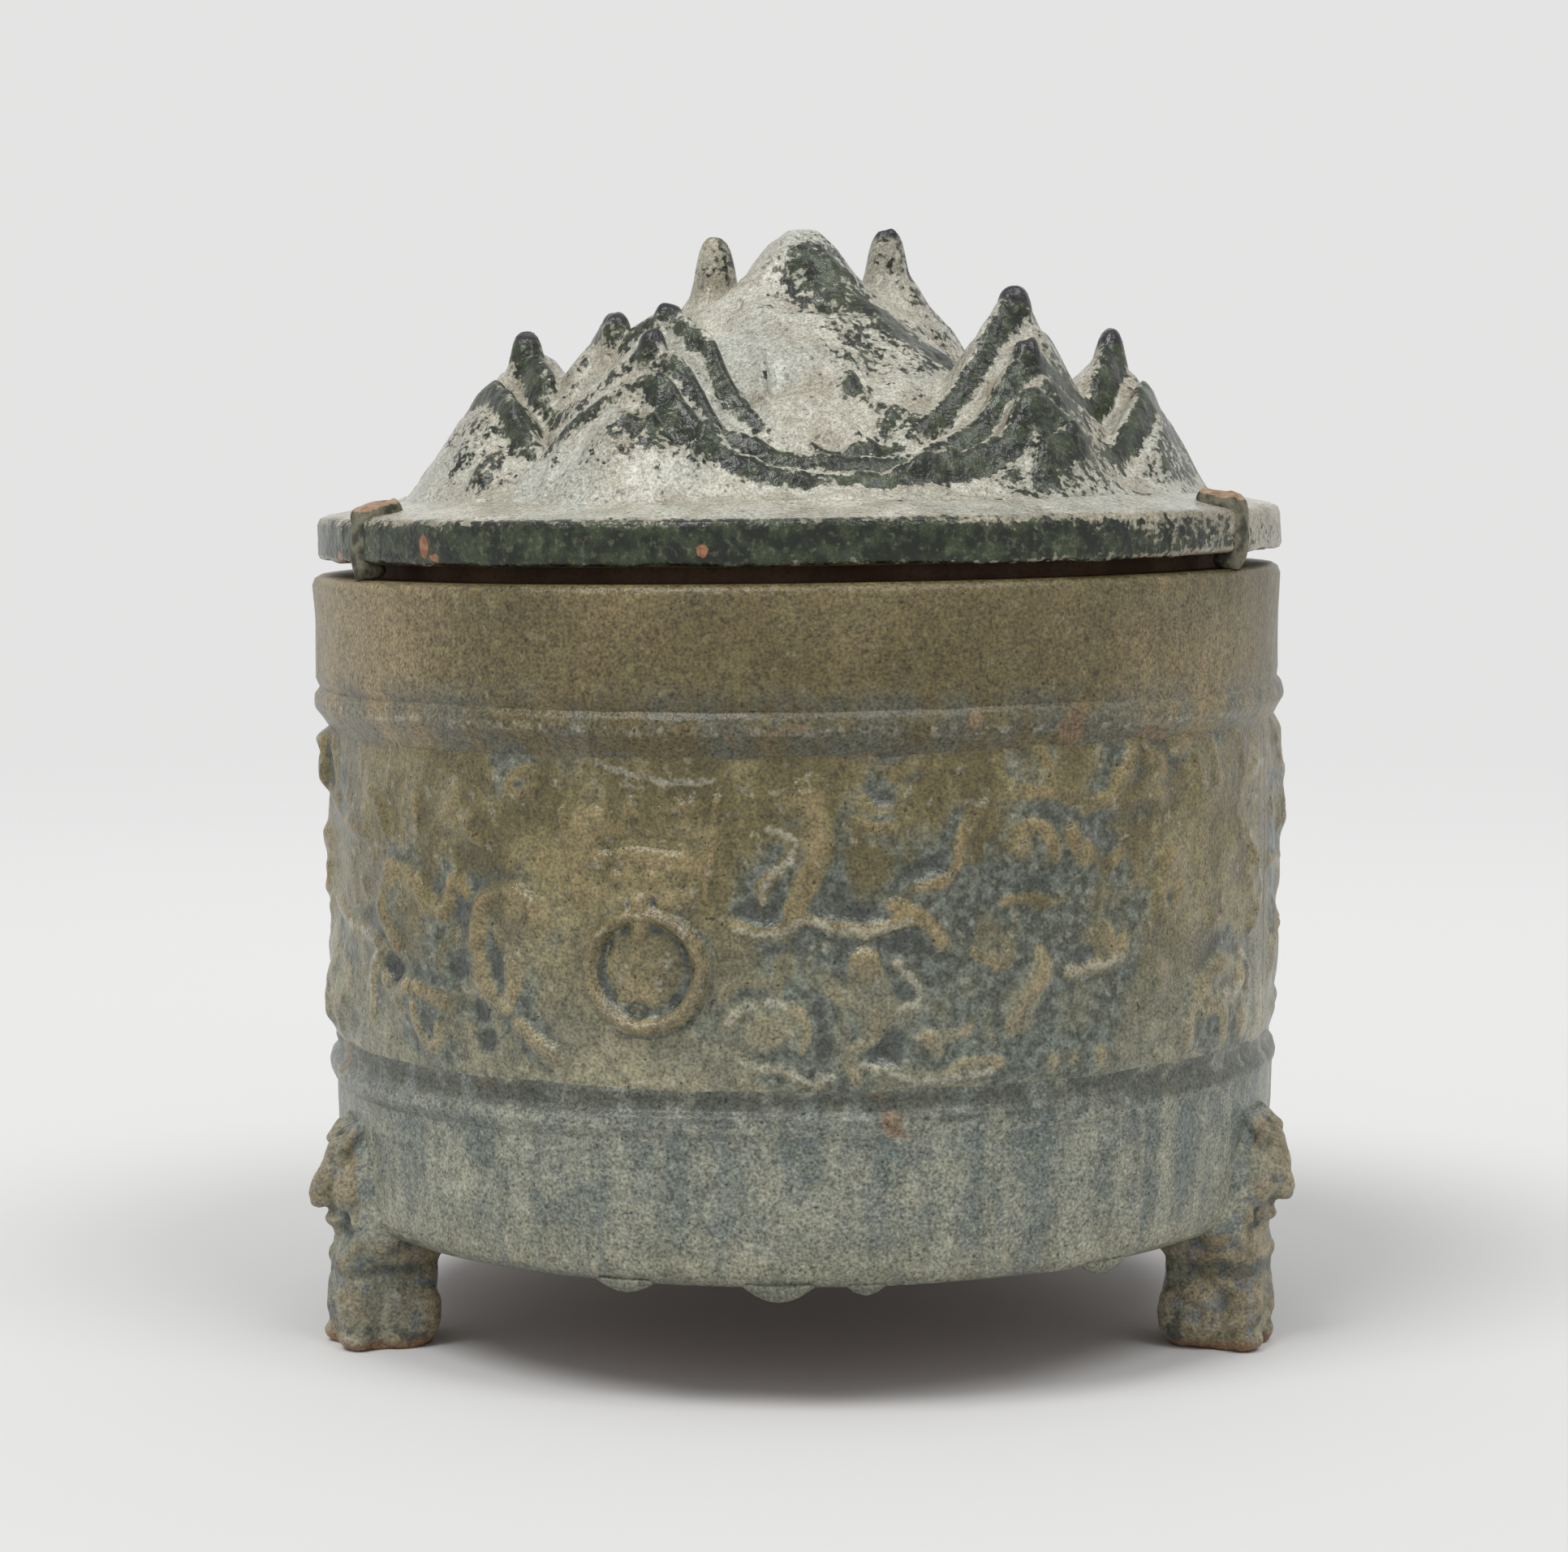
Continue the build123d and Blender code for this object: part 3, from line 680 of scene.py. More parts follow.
# %% Ridges of the left part
RELIEF_LEFT = [
    (0.7, 0.9, [(-57.5, 117), (-55, 119), (-53.5, 118), (-54, 116), (-56, 114.8)]),
    (0.7, 0.8, [(-60.5, 115), (-58.5, 113.5), (-57.2, 110), (-56.5, 106.5)]),
    (0.7, 0.8, [(-49.8, 114.5), (-50, 111), (-49.5, 108.5), (-47.5, 107)]),
    (0.8, 0.9, [(-47, 107.5), (-45.2, 110), (-44.2, 113), (-42.8, 115.8), (-41, 117), (-39.2, 116.5),
        (-38.8, 114)]),
    (0.8, 0.9, [(-38.8, 114), (-39.8, 112), (-40.5, 109.5), (-40, 107.5), (-38, 106.5)]),
    (0.8, 0.9, [(-34.5, 117.5), (-34, 120), (-32, 120.6), (-30.8, 119.5), (-31, 117.3), (-32.8, 116),
        (-34, 115.5)]),
    (0.5, 0.8, [(-34.5, 114), (-34.6, 111), (-34, 108)]),
    (1.2, 1.6, [(-54.2, 85.8), (-56, 89.5), (-57.3, 93), (-57, 96.5), (-55.5, 99), (-52.5, 99.5),
        (-50.5, 98)]),
    (1.2, 1.6, [(-50.5, 98), (-49, 96.3), (-47.5, 94), (-45.5, 93.2)]),
    (0.9, 1.2, [(-44, 95), (-43.5, 98), (-42.5, 99.5), (-41, 97)]),
    (1.2, 1.5, [(-39.5, 87), (-39.2, 91), (-38.5, 95), (-36.5, 97.2), (-33.5, 97.4), (-31, 96),
        (-30.3, 93), (-31.5, 91.5)]),
    (0.9, 2.0, [(-34, 93.5), (-32, 92)]),
    (0.9, 1.5, [(-39, 85), (-38.5, 81), (-37, 77.5)]),
    (0.9, 1.3, [(-34, 84), (-34, 79), (-35, 76)]),
    (1.3, 1.1, [(-33.2, 72.8), (-31, 70), (-28, 66.6)]),
    (1.0, 1.0, [(-57.5, 83.5), (-59.5, 80.5), (-60.7, 77), (-60.8, 73), (-61, 70)]),
    (0.9, 1.2, [(-57, 78), (-55.5, 76.5), (-53, 77.3), (-50, 77.5), (-47, 76.5), (-44.5, 75.5)]),
    (1.0, 0.9, [(-50.2, 74), (-50, 71), (-49, 68.5), (-47.2, 66), (-45.8, 67.5), (-45.5, 70)]),
    (0.7, 0.7, [(-54.5, 75), (-53.2, 72.5)]),
    (-1.2, 2.2, [(-55, 79.3)]),
    (-1.0, 2.0, [(-42.8, 82.5)]),
    (-1.0, 1.6, [(-38.8, 74)]),
    (-1.0, 1.8, [(-38, 69.5)]),
    (1.0, 1.0, [(-76, 90.5), (-72, 88.5), (-68, 86.8), (-62, 86), (-58.5, 85)]),
    (-0.7, 4.0, [(-63, 90)]),
    (0.7, 1.0, [(-64, 96), (-62.5, 94)]),
    (1.2, 5.0, [(-76, 78.5)]),
    (0.9, 0.9, [(-70, 71), (-74, 68), (-76, 66.5)]),
    (0.8, 0.9, [(-71, 113), (-68.5, 112)]),
    (0.8, 0.9, [(-75, 110), (-71, 107.5), (-67, 106.8), (-62, 106)]),
    (0.7, 2.5, [(-66, 75)]),
    (-0.8, 2.2, [(-67, 67.5)]),
    (0.25, 0.4, [(-23, 122.5), (-15, 119.2), (-10, 119.5)]),
]
print(len(RELIEF_LEFT), "ridges on the left")

# %% Ridges of the middle part
RELIEF_MIDDLE = [
    (1.2, 1.7, [(-1.5, 115.5), (-0.5, 118), (1.2, 118.2), (2.5, 116.5), (1.8, 114.5), (1.2, 112),
        (1.4, 108)]),
    (1.2, 1.7, [(1.4, 108), (1, 104.5), (0.3, 101), (-0.3, 98), (-1.2, 95.5)]),
    (1.5, 2.4, [(0, 117)]),
    (1.1, 0.7, [(-3.8, 110.8), (-2, 109.8), (-1, 108), (-1.5, 105.5), (-3, 103), (-4.6, 100), (-4.6, 96.5)]),
    (-0.8, 3.0, [(-5.5, 94.5)]),
    (-0.9, 4.5, [(4, 97)]),
    (1.2, 1.1, [(-7.5, 92.6), (-5, 91.6), (-2.5, 92), (-0.5, 94.2), (1, 94), (3.5, 92.5), (6.5, 91.5),
        (9, 92.5), (11, 93.8)]),
    (0.9, 1.6, [(9.5, 96), (12, 94.5), (14, 92), (15, 89.5)]),
    (-0.8, 2.2, [(8.5, 117.5)]),
    (0.6, 0.6, [(6.5, 116), (7.5, 114.2), (9, 113.8)]),
    (-0.6, 1.8, [(10, 123.8)]),
    (-0.6, 1.0, [(9, 118), (11, 119), (13, 120.3)]),
    (0.7, 0.7, [(5.3, 111.3), (7.5, 110.7), (9.5, 110.5), (11.5, 111.5)]),
    (1.0, 1.0, [(19.5, 113.5), (18, 110.5), (17, 107), (16.5, 103.5), (15, 100.5), (12, 99.5)]),
    (0.5, 0.7, [(21, 112), (19.5, 108), (18.5, 104)]),
    (-0.7, 1.2, [(11, 101.5), (15, 104)]),
    (1.3, 2.2, [(6.5, 86.5), (6.8, 82.5)]),
    (0.6, 0.6, [(5.2, 84), (5.8, 87.5), (7, 88.3)]),
    (1.1, 0.9, [(10, 85.5), (11.5, 83), (12.4, 80.5), (12.3, 78), (10.5, 77.2), (8, 77.8)]),
    (0.9, 0.9, [(3.2, 80.8), (4, 79), (5.8, 78), (6.5, 76.5)]),
    (1.2, 1.0, [(7.2, 77), (7.7, 74), (7.2, 71.3), (5.2, 69.6), (4.5, 67.8), (5, 65.8), (5.6, 64.3)]),
    (1.1, 0.9, [(-8.3, 75), (-7, 77.7), (-4.5, 78.9), (-2.2, 78.3), (-0.5, 77), (0.3, 74.5),
        (0.3, 72), (-0.3, 69.3)]),
    (0.8, 3.5, [(-4, 74)]),
    (0.9, 0.9, [(-8.8, 79.5), (-8, 82.5), (-6, 83), (-4, 82)]),
    (1.0, 0.8, [(-2.4, 86), (-2.8, 83), (-3.2, 79.5)]),
    (-0.9, 1.8, [(1.5, 77), (1.8, 72), (1.5, 67.5)]),
    (-0.8, 2.4, [(9, 69)]),
    (-0.7, 1.6, [(11.5, 79.5)]),
    (1.0, 0.8, [(-7.5, 68.5), (-6.5, 67), (-4.5, 66.5), (-2.5, 66.3), (-0.8, 64.8), (1.2, 63.2),
        (2.8, 64.8), (4, 67)]),
    (1.0, 0.8, [(6.2, 67), (7.8, 66), (9.5, 65.3), (10.8, 64.2), (12.3, 63.2), (15, 63.3), (17.5, 63.8)]),
    (0.9, 0.7, [(17.5, 63.8), (20.5, 64.6), (21.8, 66.3), (20.5, 67), (17.5, 66.4), (16, 64.6)]),
    (0.7, 0.7, [(13, 71.8), (15.5, 71.5), (18, 72.5), (18.8, 74)]),
    (0.7, 0.7, [(13.5, 71), (14.8, 68.5)]),
    (0.6, 0.8, [(20, 76), (20.3, 72), (21, 70)]),
    (0.9, 0.7, [(18.5, 86.8), (20.5, 85.8), (21.3, 84), (22.2, 84.5), (22.8, 87.5)]),
]
print(len(RELIEF_MIDDLE), "ridges in the middle")

# %% Ridges of the right part
RELIEF_RIGHT = [
    (0.8, 0.9, [(21.5, 124.5), (23.5, 126), (26, 126.5), (27, 124), (27.8, 120)]),
    (0.7, 0.9, [(23, 116.8), (26, 115.8), (29, 116.5), (31, 115)]),
    (0.8, 1.0, [(32.5, 112.5), (35, 113.8), (38, 113), (41, 114.5), (44, 113)]),
    (1.0, 1.2, [(37, 116), (38.5, 120), (40, 125.5), (41.5, 122), (44, 119.5)]),
    (0.9, 1.3, [(47, 123), (50, 124.5), (53, 123.5), (54.5, 120), (55, 116)]),
    (0.8, 1.0, [(50, 120), (51, 116), (50.5, 113), (52, 111.5), (55.5, 110)]),
    (0.9, 0.8, [(24, 106.5), (23.8, 109), (25.5, 110.5), (27.3, 109), (28, 106), (28.6, 102.5)]),
    (0.9, 1.2, [(30.5, 108), (31, 105), (32, 102.5)]),
    (0.6, 0.7, [(32.5, 106), (34, 102.5)]),
    (0.6, 0.8, [(37.5, 103.5), (36, 101.5)]),
    (1.0, 0.8, [(43.8, 95.5), (43.6, 92.5), (45, 91), (47, 92.3), (48, 94.5), (47.5, 96.3)]),
    (-1.0, 1.2, [(45.2, 93.4)]),
    (0.6, 0.8, [(49, 89.5), (47.5, 87)]),
    (0.7, 1.0, [(44, 102.5), (46.5, 103), (44.5, 100)]),
    (0.8, 0.8, [(22, 96), (25, 96.6), (27.5, 95.2), (30, 95.8)]),
    (1.0, 0.6, [(30.3, 81.8), (33, 82.5), (36, 83), (37.5, 84), (37.8, 87)]),
    (-1.0, 2.0, [(32.3, 85)]),
    (0.6, 0.7, [(35.3, 90), (36, 87), (36.5, 85)]),
    (0.9, 1.2, [(26.5, 86), (27.3, 84), (26, 80), (24.3, 77), (24, 74), (23, 72.5)]),
    (0.9, 1.5, [(28.3, 65.5)]),
    (0.9, 1.5, [(31.3, 65.5)]),
    (0.9, 1.5, [(34.8, 65.5)]),
    (0.9, 1.5, [(38.3, 66.2)]),
    (0.9, 1.6, [(42.5, 82), (44, 79), (43, 76.5)]),
    (1.4, 1.6, [(48.6, 66), (49.8, 70), (51, 74), (52.5, 77), (55, 79), (58.5, 78.5), (61, 76.5)]),
    (1.0, 0.9, [(51.5, 66), (51.3, 69), (52.5, 71), (54.5, 71.5), (56, 69.5), (56.5, 66), (56.5, 64)]),
    (1.2, 2.8, [(62, 68)]),
    (0.8, 0.8, [(60.5, 72), (63, 71), (63.8, 68), (63, 64.5), (61, 63.5), (60.5, 67)]),
    (0.9, 0.8, [(56, 73.3), (58, 72.7), (60, 74), (62, 74.5)]),
    (1.0, 0.8, [(61.3, 80.5), (62.8, 78), (63.7, 75.5), (63.5, 71)]),
    (0.8, 0.5, [(60.5, 102.3), (61.5, 103.5), (61.3, 105), (60.8, 106)]),
    (1.1, 0.9, [(63.8, 104), (65, 101), (66.3, 98), (66.8, 96), (68.5, 94), (68.8, 91), (67, 88),
        (65, 86), (64.5, 84.5)]),
    (0.9, 0.8, [(65.5, 115), (68, 116.5), (71, 116.5), (73.5, 117.5)]),
    (1.0, 3.5, [(70, 110)]),
    (1.2, 5.0, [(74, 78)]),
    (0.8, 1.2, [(54, 87.5), (57, 88), (60, 88.3), (62, 86.5)]),
    (0.6, 0.8, [(55, 101.5), (57, 100.5), (60, 101)]),
]
print(len(RELIEF_RIGHT), "ridges on the right")

# %% Soft bodies, and lines of wear and painted highlight
RELIEF_BODIES = [
    (0.7, 5.0, [(-54, 95), (-50, 93)]),
    (0.7, 4.5, [(-37, 92), (-33, 93)]),
    (0.6, 3.5, [(-42, 112), (-38, 111)]),
    (0.6, 4.0, [(-52, 74), (-46, 72)]),
    (0.6, 3.5, [(-66, 108), (-58, 111)]),
    (0.7, 3.6, [(1, 112), (0, 101)]),
    (0.6, 4.5, [(-4, 73)]),
    (0.6, 3.5, [(7, 82), (7.5, 76)]),
    (0.5, 4.0, [(12, 97), (17, 101)]),
    (0.6, 3.6, [(25, 106), (31, 105)]),
    (0.6, 4.2, [(38, 117), (42, 117)]),
    (0.6, 4.2, [(51, 118), (53, 114)]),
    (0.6, 3.6, [(45, 94), (46, 101)]),
    (0.6, 3.4, [(26, 81), (24, 75)]),
    (0.9, 5.0, [(54, 73), (58, 72)]),
    (0.6, 4.0, [(66, 92), (66, 98)]),
    (0.5, 3.4, [(34, 86), (37, 86)]),
    (0.5, 3.2, [(43, 79)]),
    (2.2, 2.6, [(-85, 123), (-80, 122.5)]),
    (2.0, 3.0, [(-85, 116), (-80, 115.5)]),
    (0.9, 2.6, [(-84, 104), (-82, 103)]),
    (0.8, 6.0, [(-83, 108), (-83, 64)]),
    (0.9, 3.0, [(-84, 69), (-81, 70)]),
    (1.3, 6.0, [(-97, 121), (-97, 112)]),
    (1.0, 5.0, [(-97, 100), (-97, 92)]),
    (0.7, 5.0, [(-97, 84), (-97, 76)]),
]
# Lines that turn pale: wear along ridge crests, and a painted highlight.
WEAR_AND_HIGHLIGHT_LINES = [
    [(-3.8, 110.8), (-2, 109.8), (-1, 108), (-1.5, 105.5), (-3, 103), (-4.6, 100), (-4.6, 96.5)],
    [(-7.5, 92.2), (-5, 91.2), (-2.5, 91.6), (-0.5, 93.8), (1, 93.6), (3.5, 92.1), (6.5, 91.1),
        (9, 92.1), (11, 93.4)],
    [(-57.5, 83.5), (-59.5, 80.5), (-60.7, 77), (-60.8, 73)],
    [(-76, 90.5), (-72, 88.5), (-68, 86.8), (-62, 86), (-58.5, 85)],
    [(-7.5, 68.5), (-6.5, 67), (-4.5, 66.5), (-2.5, 66.3), (-0.8, 64.8), (1.2, 63.2), (2.8, 64.8)],
    [(6.2, 67), (7.8, 66), (9.5, 65.3), (10.8, 64.2), (12.3, 63.2), (15, 63.3), (17.5, 63.8), (20.5, 64.6)],
    [(-8.3, 75), (-7, 77.7), (-4.5, 78.9), (-2.2, 78.3)],
    [(10, 85.5), (11.5, 83), (12.4, 80.5), (12.3, 78), (10.5, 77.2)],
    [(30.3, 81.8), (33, 82.5), (36, 83), (37.5, 84)],
    [(61.3, 80.5), (62.8, 78), (63.7, 75.5), (63.5, 71)],
    [(63.8, 104), (65, 101), (66.3, 98), (66.8, 96), (68.5, 94), (68.8, 91), (67, 88)],
    [(65.5, 115), (68, 116.5), (71, 116.5), (73.5, 117.5)],
    [(56, 73.3), (58, 72.7), (60, 74), (62, 74.5)],
    [(-23, 122.5), (-15, 119.2), (-10, 119.5)],
]
print(len(RELIEF_BODIES), "bodies and", len(WEAR_AND_HIGHLIGHT_LINES), "worn lines")

# %% [markdown]
# The pressed strips: from ridges to clay
#
# Each ridge raises the field to its height with flat-topped, soft-sided walls; hollows push it down. A little
# blur stands for the glaze that fills corners. The difference between the field and its blur is kept as a
# mark: it is high on edges and low beside them, which is where glaze runs thin or gathers, and where the
# finish also paints shade beside the edges.


# %% The height field
def ridge_distance(across, up, line):
    """Distance of every point of a field from a line of points."""
    nearest = np.full(np.broadcast(across, up).shape, 1e9)
    ends = list(zip(line[:-1], line[1:])) or [(line[0], line[0])]
    for (x0, y0), (x1, y1) in ends:
        length = max((x1 - x0) ** 2 + (y1 - y0) ** 2, 1e-9)
        part = np.clip(((across - x0) * (x1 - x0) + (up - y0) * (y1 - y0)) / length, 0, 1)
        nearest = np.minimum(nearest, np.hypot(across - x0 - part * (x1 - x0), up - y0 - part * (y1 - y0)))
    return nearest


def draw_ridges(across, up, ridges):
    """Height field of ridges and hollows: (rise, half width, line of points)."""
    high = np.zeros((len(across), len(up)))
    low = np.zeros((len(across), len(up)))
    for rise, width, line in ridges:
        reach = 3.0 * width
        x_values = [point[0] for point in line]
        y_values = [point[1] for point in line]
        i = slice(*np.searchsorted(across, [min(x_values) - reach, max(x_values) + reach]))
        j = slice(*np.searchsorted(up, [min(y_values) - reach, max(y_values) + reach]))
        shape = rise * np.exp(-((ridge_distance(across[i, None], up[None, j], line) / width) ** 2.4) * 0.7)
        if rise > 0:
            high[i, j] = np.maximum(high[i, j], shape)
        else:
            low[i, j] = np.minimum(low[i, j], shape)
    return high + low


def blur(field, reach, wrap=False):
    """Soft average of a field over a number of cells."""
    span = int(3 * reach)
    weights = np.exp(-0.5 * (np.arange(-span, span + 1) / reach) ** 2)
    weights /= weights.sum()
    for axis in (0, 1):
        edges = [(0, 0), (0, 0)]
        edges[axis] = (span, span)
        padded = np.pad(field, edges, mode="wrap" if wrap and axis == 0 else "edge")
        total = np.zeros_like(field)
        for offset, weight in enumerate(weights):
            view = slice(offset, offset + field.shape[axis])
            total += weight * (padded[view] if axis == 0 else padded[:, view])
        field = total
    return field


lone_ridge = draw_ridges(np.arange(9.0), np.arange(9.0), [(1.0, 2.0, [(4.0, 4.0)])])
print("a lone ridge of 1 mm, blurred, stands", blur(lone_ridge, 1.0).max().round(2), "mm high")

# %% The whole strip
STRIP_STEP = 0.3
STRIP_ROWS = 128
STRIP_START = MASK_AZIMUTH - 90.0
strip_azimuths = np.linspace(STRIP_START + 0.01, STRIP_START + 179.99, int(180 / STRIP_STEP))
strip_heights = np.linspace(FRIEZE_BOTTOM, FRIEZE_TOP, STRIP_ROWS)
ARC = math.radians(1.0) * FRIEZE_RADIUS


def unrolled(ridges, shift=0.0):
    """Ridges with azimuths turned into millimetres along the strip."""
    return [(rise, width, [((a + shift) * ARC, z) for a, z in line]) for rise, width, line in ridges]


def softened(ridges):
    """Ridges as the thick glaze leaves them: a little higher and broader than drawn."""
    return [(1.25 * rise, 1.15 * width, line) for rise, width, line in ridges]


def weathered(across, up, ridges):
    """Ridges worn unevenly, so that parts of a line melt away."""
    places = np.stack(np.broadcast_arrays(across[:, None], up[None, :], 0.0), axis=-1)
    return draw_ridges(across, up, ridges) * np.clip(0.78 + clay(places, 10.0, 0.7, 401, 2), 0.3, 1.15)


REPEAT_FROM, REPEAT_TO = 21, 53
REPEAT_BODIES = RELIEF_BODIES[9:15]
REPEAT_SHIFT = -129.0
BODY_GAIN = 1.3
strip_across = strip_azimuths * ARC
repeats = [ridge for ridge in RELIEF_RIGHT if REPEAT_FROM < ridge[2][0][0] < REPEAT_TO]
all_ridges = unrolled(softened(RELIEF_LEFT + RELIEF_MIDDLE + RELIEF_RIGHT))
all_ridges += unrolled(softened(repeats), REPEAT_SHIFT)
strip_relief = weathered(strip_across, strip_heights, all_ridges)
for bodies, shift in ((RELIEF_BODIES, 0.0), (REPEAT_BODIES, REPEAT_SHIFT)):
    strip_relief += BODY_GAIN * draw_ridges(strip_across, strip_heights, unrolled(bodies, shift))
strip_relief = blur(strip_relief, 1.2)
strip_wear_and_highlight = draw_ridges(strip_across, strip_heights, unrolled([(1.0, 0.9, line) for line in WEAR_AND_HIGHLIGHT_LINES]))
print("relief from", strip_relief.min().round(2), "to", strip_relief.max().round(2), "mm")

# %% [markdown]
# The glaze of the relief
#
# On the strips the glaze is olive brown above and greyer below. It wore thin and pale on raised edges, and
# that pale also serves as a painted highlight; beside them it gathered slate blue, and the almost black there
# is partly gathered glaze and partly painted shade. Painting this by hand would be the other way; here the
# edge mark of the height field decides, with clouds that break every border up.


# %% Glaze of the relief
def relief_glaze():
    """Olive brown, ochre on raised edges, slate blue in hollows, near black beside edges as gathered glaze
    and painted shade, pale on worn edges as wear and painted highlight.
    """
    finish = Finish("relief_glaze")
    edge = finish.mark("edge")
    height = finish.along("Z")
    broad = finish.cloud(30.0, 4.0, 3.0)
    patch = finish.cloud(9.0, 12.0, 5.0, 1.6)
    fine = finish.cloud(2.0, 16.0, 3.0)
    grain = finish.cloud(0.6, 19.0, 1.0)
    ground = finish.mix(patch.above(0.36, 0.62), (0.102, 0.084, 0.032), (0.204, 0.169, 0.076))
    low_share = (height + 40.0 * broad + 20.0 * patch).above(132.0, 94.0)
    low_ground = finish.mix(patch.above(0.40, 0.62), (0.178, 0.178, 0.126), (0.312, 0.290, 0.188))
    ground = finish.mix(low_share * 0.85, ground, low_ground)
    across = finish.along("X")
    middle = across.above(-30.0, 0.0) * across.above(85.0, 40.0)
    middle = middle * height.above(122.0, 100.0) * height.above(58.0, 68.0)
    sunk = (0.9 * patch + 0.7 * broad - 0.50 * edge + 0.18 * middle).above(0.84, 1.04)
    slate = finish.mix(fine.above(0.38, 0.62), (0.044, 0.060, 0.052), (0.108, 0.132, 0.118))
    colour = finish.mix(sunk * 0.82, ground, slate)
    raised = (edge + 0.9 * fine + 1.4 * patch - 1.15).above(0.08, 0.50)
    colour = finish.mix(raised * 0.36, colour, (0.228, 0.166, 0.086))
    # Pale along the worn lines: partly wear, partly a painted highlight.
    worn = (finish.mark("worn") + 1.6 * fine - 0.8).above(0.40, 1.0)
    colour = finish.mix(worn * 0.42, colour, (0.380, 0.376, 0.310))
    flecks = finish.cloud(2.6, 33.0, 3.0).above(0.60, 0.70)
    colour = finish.mix(flecks * 0.45, colour, (0.310, 0.295, 0.225))
    # Almost black beside the raised edges: partly gathered glaze, partly painted shade.
    gathered_glaze_and_shade = (edge + 0.35 * patch - 0.17).above(-0.14, -0.44)
    colour = finish.mix(gathered_glaze_and_shade * 0.7, colour, (0.044, 0.048, 0.042))
    pits = finish.cloud(1.1, 27.0, 2.0).above(0.70, 0.76)
    colour = finish.shade(colour, 1.3 * fine + 2.1 * grain - 0.63)
    colour = finish.mix(pits * 0.8, colour, (0.024, 0.024, 0.018))
    bump = grain * 0.35 + fine * 0.8 + patch * 1.3 - pits * 0.6
    return finish.close(colour, 0.16 + 0.24 * patch, bump, 0.45, 0.5)


RELIEF_GLAZE = relief_glaze()
print("finish", RELIEF_GLAZE.name)

# %% [markdown]
# The two strips
#
# Each strip is a thin curved slab half-way round the jar. Its section is a closed line, from the inner face
# out round the edge and up the pressed face, and one section after another is joined along the strip. The
# second strip is the same pressing turned to the back, with its own small flaws.


# %% Making the strips
def strip_radius(azimuths, heights, relief, seed):
    """Outer radius of a strip: ground, relief and uneven clay."""
    inset = np.clip(np.minimum(heights - FRIEZE_BOTTOM, FRIEZE_TOP - heights) / 5.0, 0, 1)
    base_radius = np.repeat(FRIEZE_RADIUS - 1.3 * (1 - inset[None, :]) ** 2, len(azimuths), axis=0)
    points = turned(azimuths, base_radius.T, np.repeat(heights[:, None], len(azimuths), axis=1))
    flaws = clay(points, 12.0, 0.30, seed) + clay(points, 2.6, 0.10, seed + 9, 2)
    along = np.mod(azimuths - STRIP_START, 180.0)
    ends = np.clip(np.minimum(along, 180.0 - along) / 5.0, 0, 1)
    return base_radius + (relief + flaws.T) * (0.2 + 0.8 * inset[None, :]) * ends[:, None]


def make_strip(name, turn, seed):
    """A closed slab whose outer face carries the relief."""
    outer = strip_radius(strip_azimuths + turn, strip_heights, strip_relief, seed)
    count = len(strip_azimuths)
    inner = np.full((count, 1), CHANNEL_RADIUS + 0.1)
    radius = np.hstack([inner, outer, inner])
    height = np.hstack([[strip_heights[0]], strip_heights, [strip_heights[-1]]])
    heights = np.repeat(height[:, None], count, axis=1)
    points = turned(strip_azimuths + turn, radius.T, heights).transpose(1, 0, 2)
    ring = len(height)
    caps = [np.arange(ring)[::-1], np.arange(ring) + (count - 1) * ring]
    edges = np.pad(strip_relief - blur(strip_relief, 5.0), ((0, 0), (1, 1)))
    worn = np.pad(strip_wear_and_highlight, ((0, 0), (1, 1)))
    faces = stitch(count, ring, False, True)
    return mesh_piece(name, points.reshape(-1, 3), faces, caps, {"edge": edges, "worn": worn})


SIDES = {"front": (0.0, 31), "back": (180.0, 57)}
for side, (turn, seed) in SIDES.items():
    strip = make_strip("frieze_" + side + "_pressed", turn, seed)
    finish_piece(strip, "jar", ["frieze_" + side], RELIEF_GLAZE)

# %% [markdown]
# Cordons
#
# A rounded ridge of clay runs above and below the strips and covers their edges. Each is a coil that was
# pressed on by hand and smoothed into the wall, so it has a soft outline of its own and its crest wanders a
# little up and down. A bent pipe could stand for it, but a turned profile takes the outline as it is, and
# the clay field then moves both its radius and its height.


# %% Making the cordons
def cordon_line(outline):
    """Closed profile of a coil: its shown side by radius and height, and a flat back in the channel."""
    shown = open_profile([(radius, height, 0.45) for radius, height in outline])
    back = [[CHANNEL_RADIUS + 0.1, outline[-1][1]], [CHANNEL_RADIUS + 0.1, outline[0][1]]]
    return np.vstack([shown, back])


def cordon_unevenness(points, radius, height):
    """Hand-pressed waviness that leaves the hidden side alone."""
    shown = np.clip((radius - CHANNEL_RADIUS - 0.3) / 2.0, 0, 1)
    wander = shown * clay(points, 24.0, 0.5, 71, 3)
    swell_left = 0.45 * (1 - points[..., 0] / RIM_RADIUS)
    return shown * (clay(points, 9.0, 0.20, 75, 2) - 0.2 + swell_left), wander


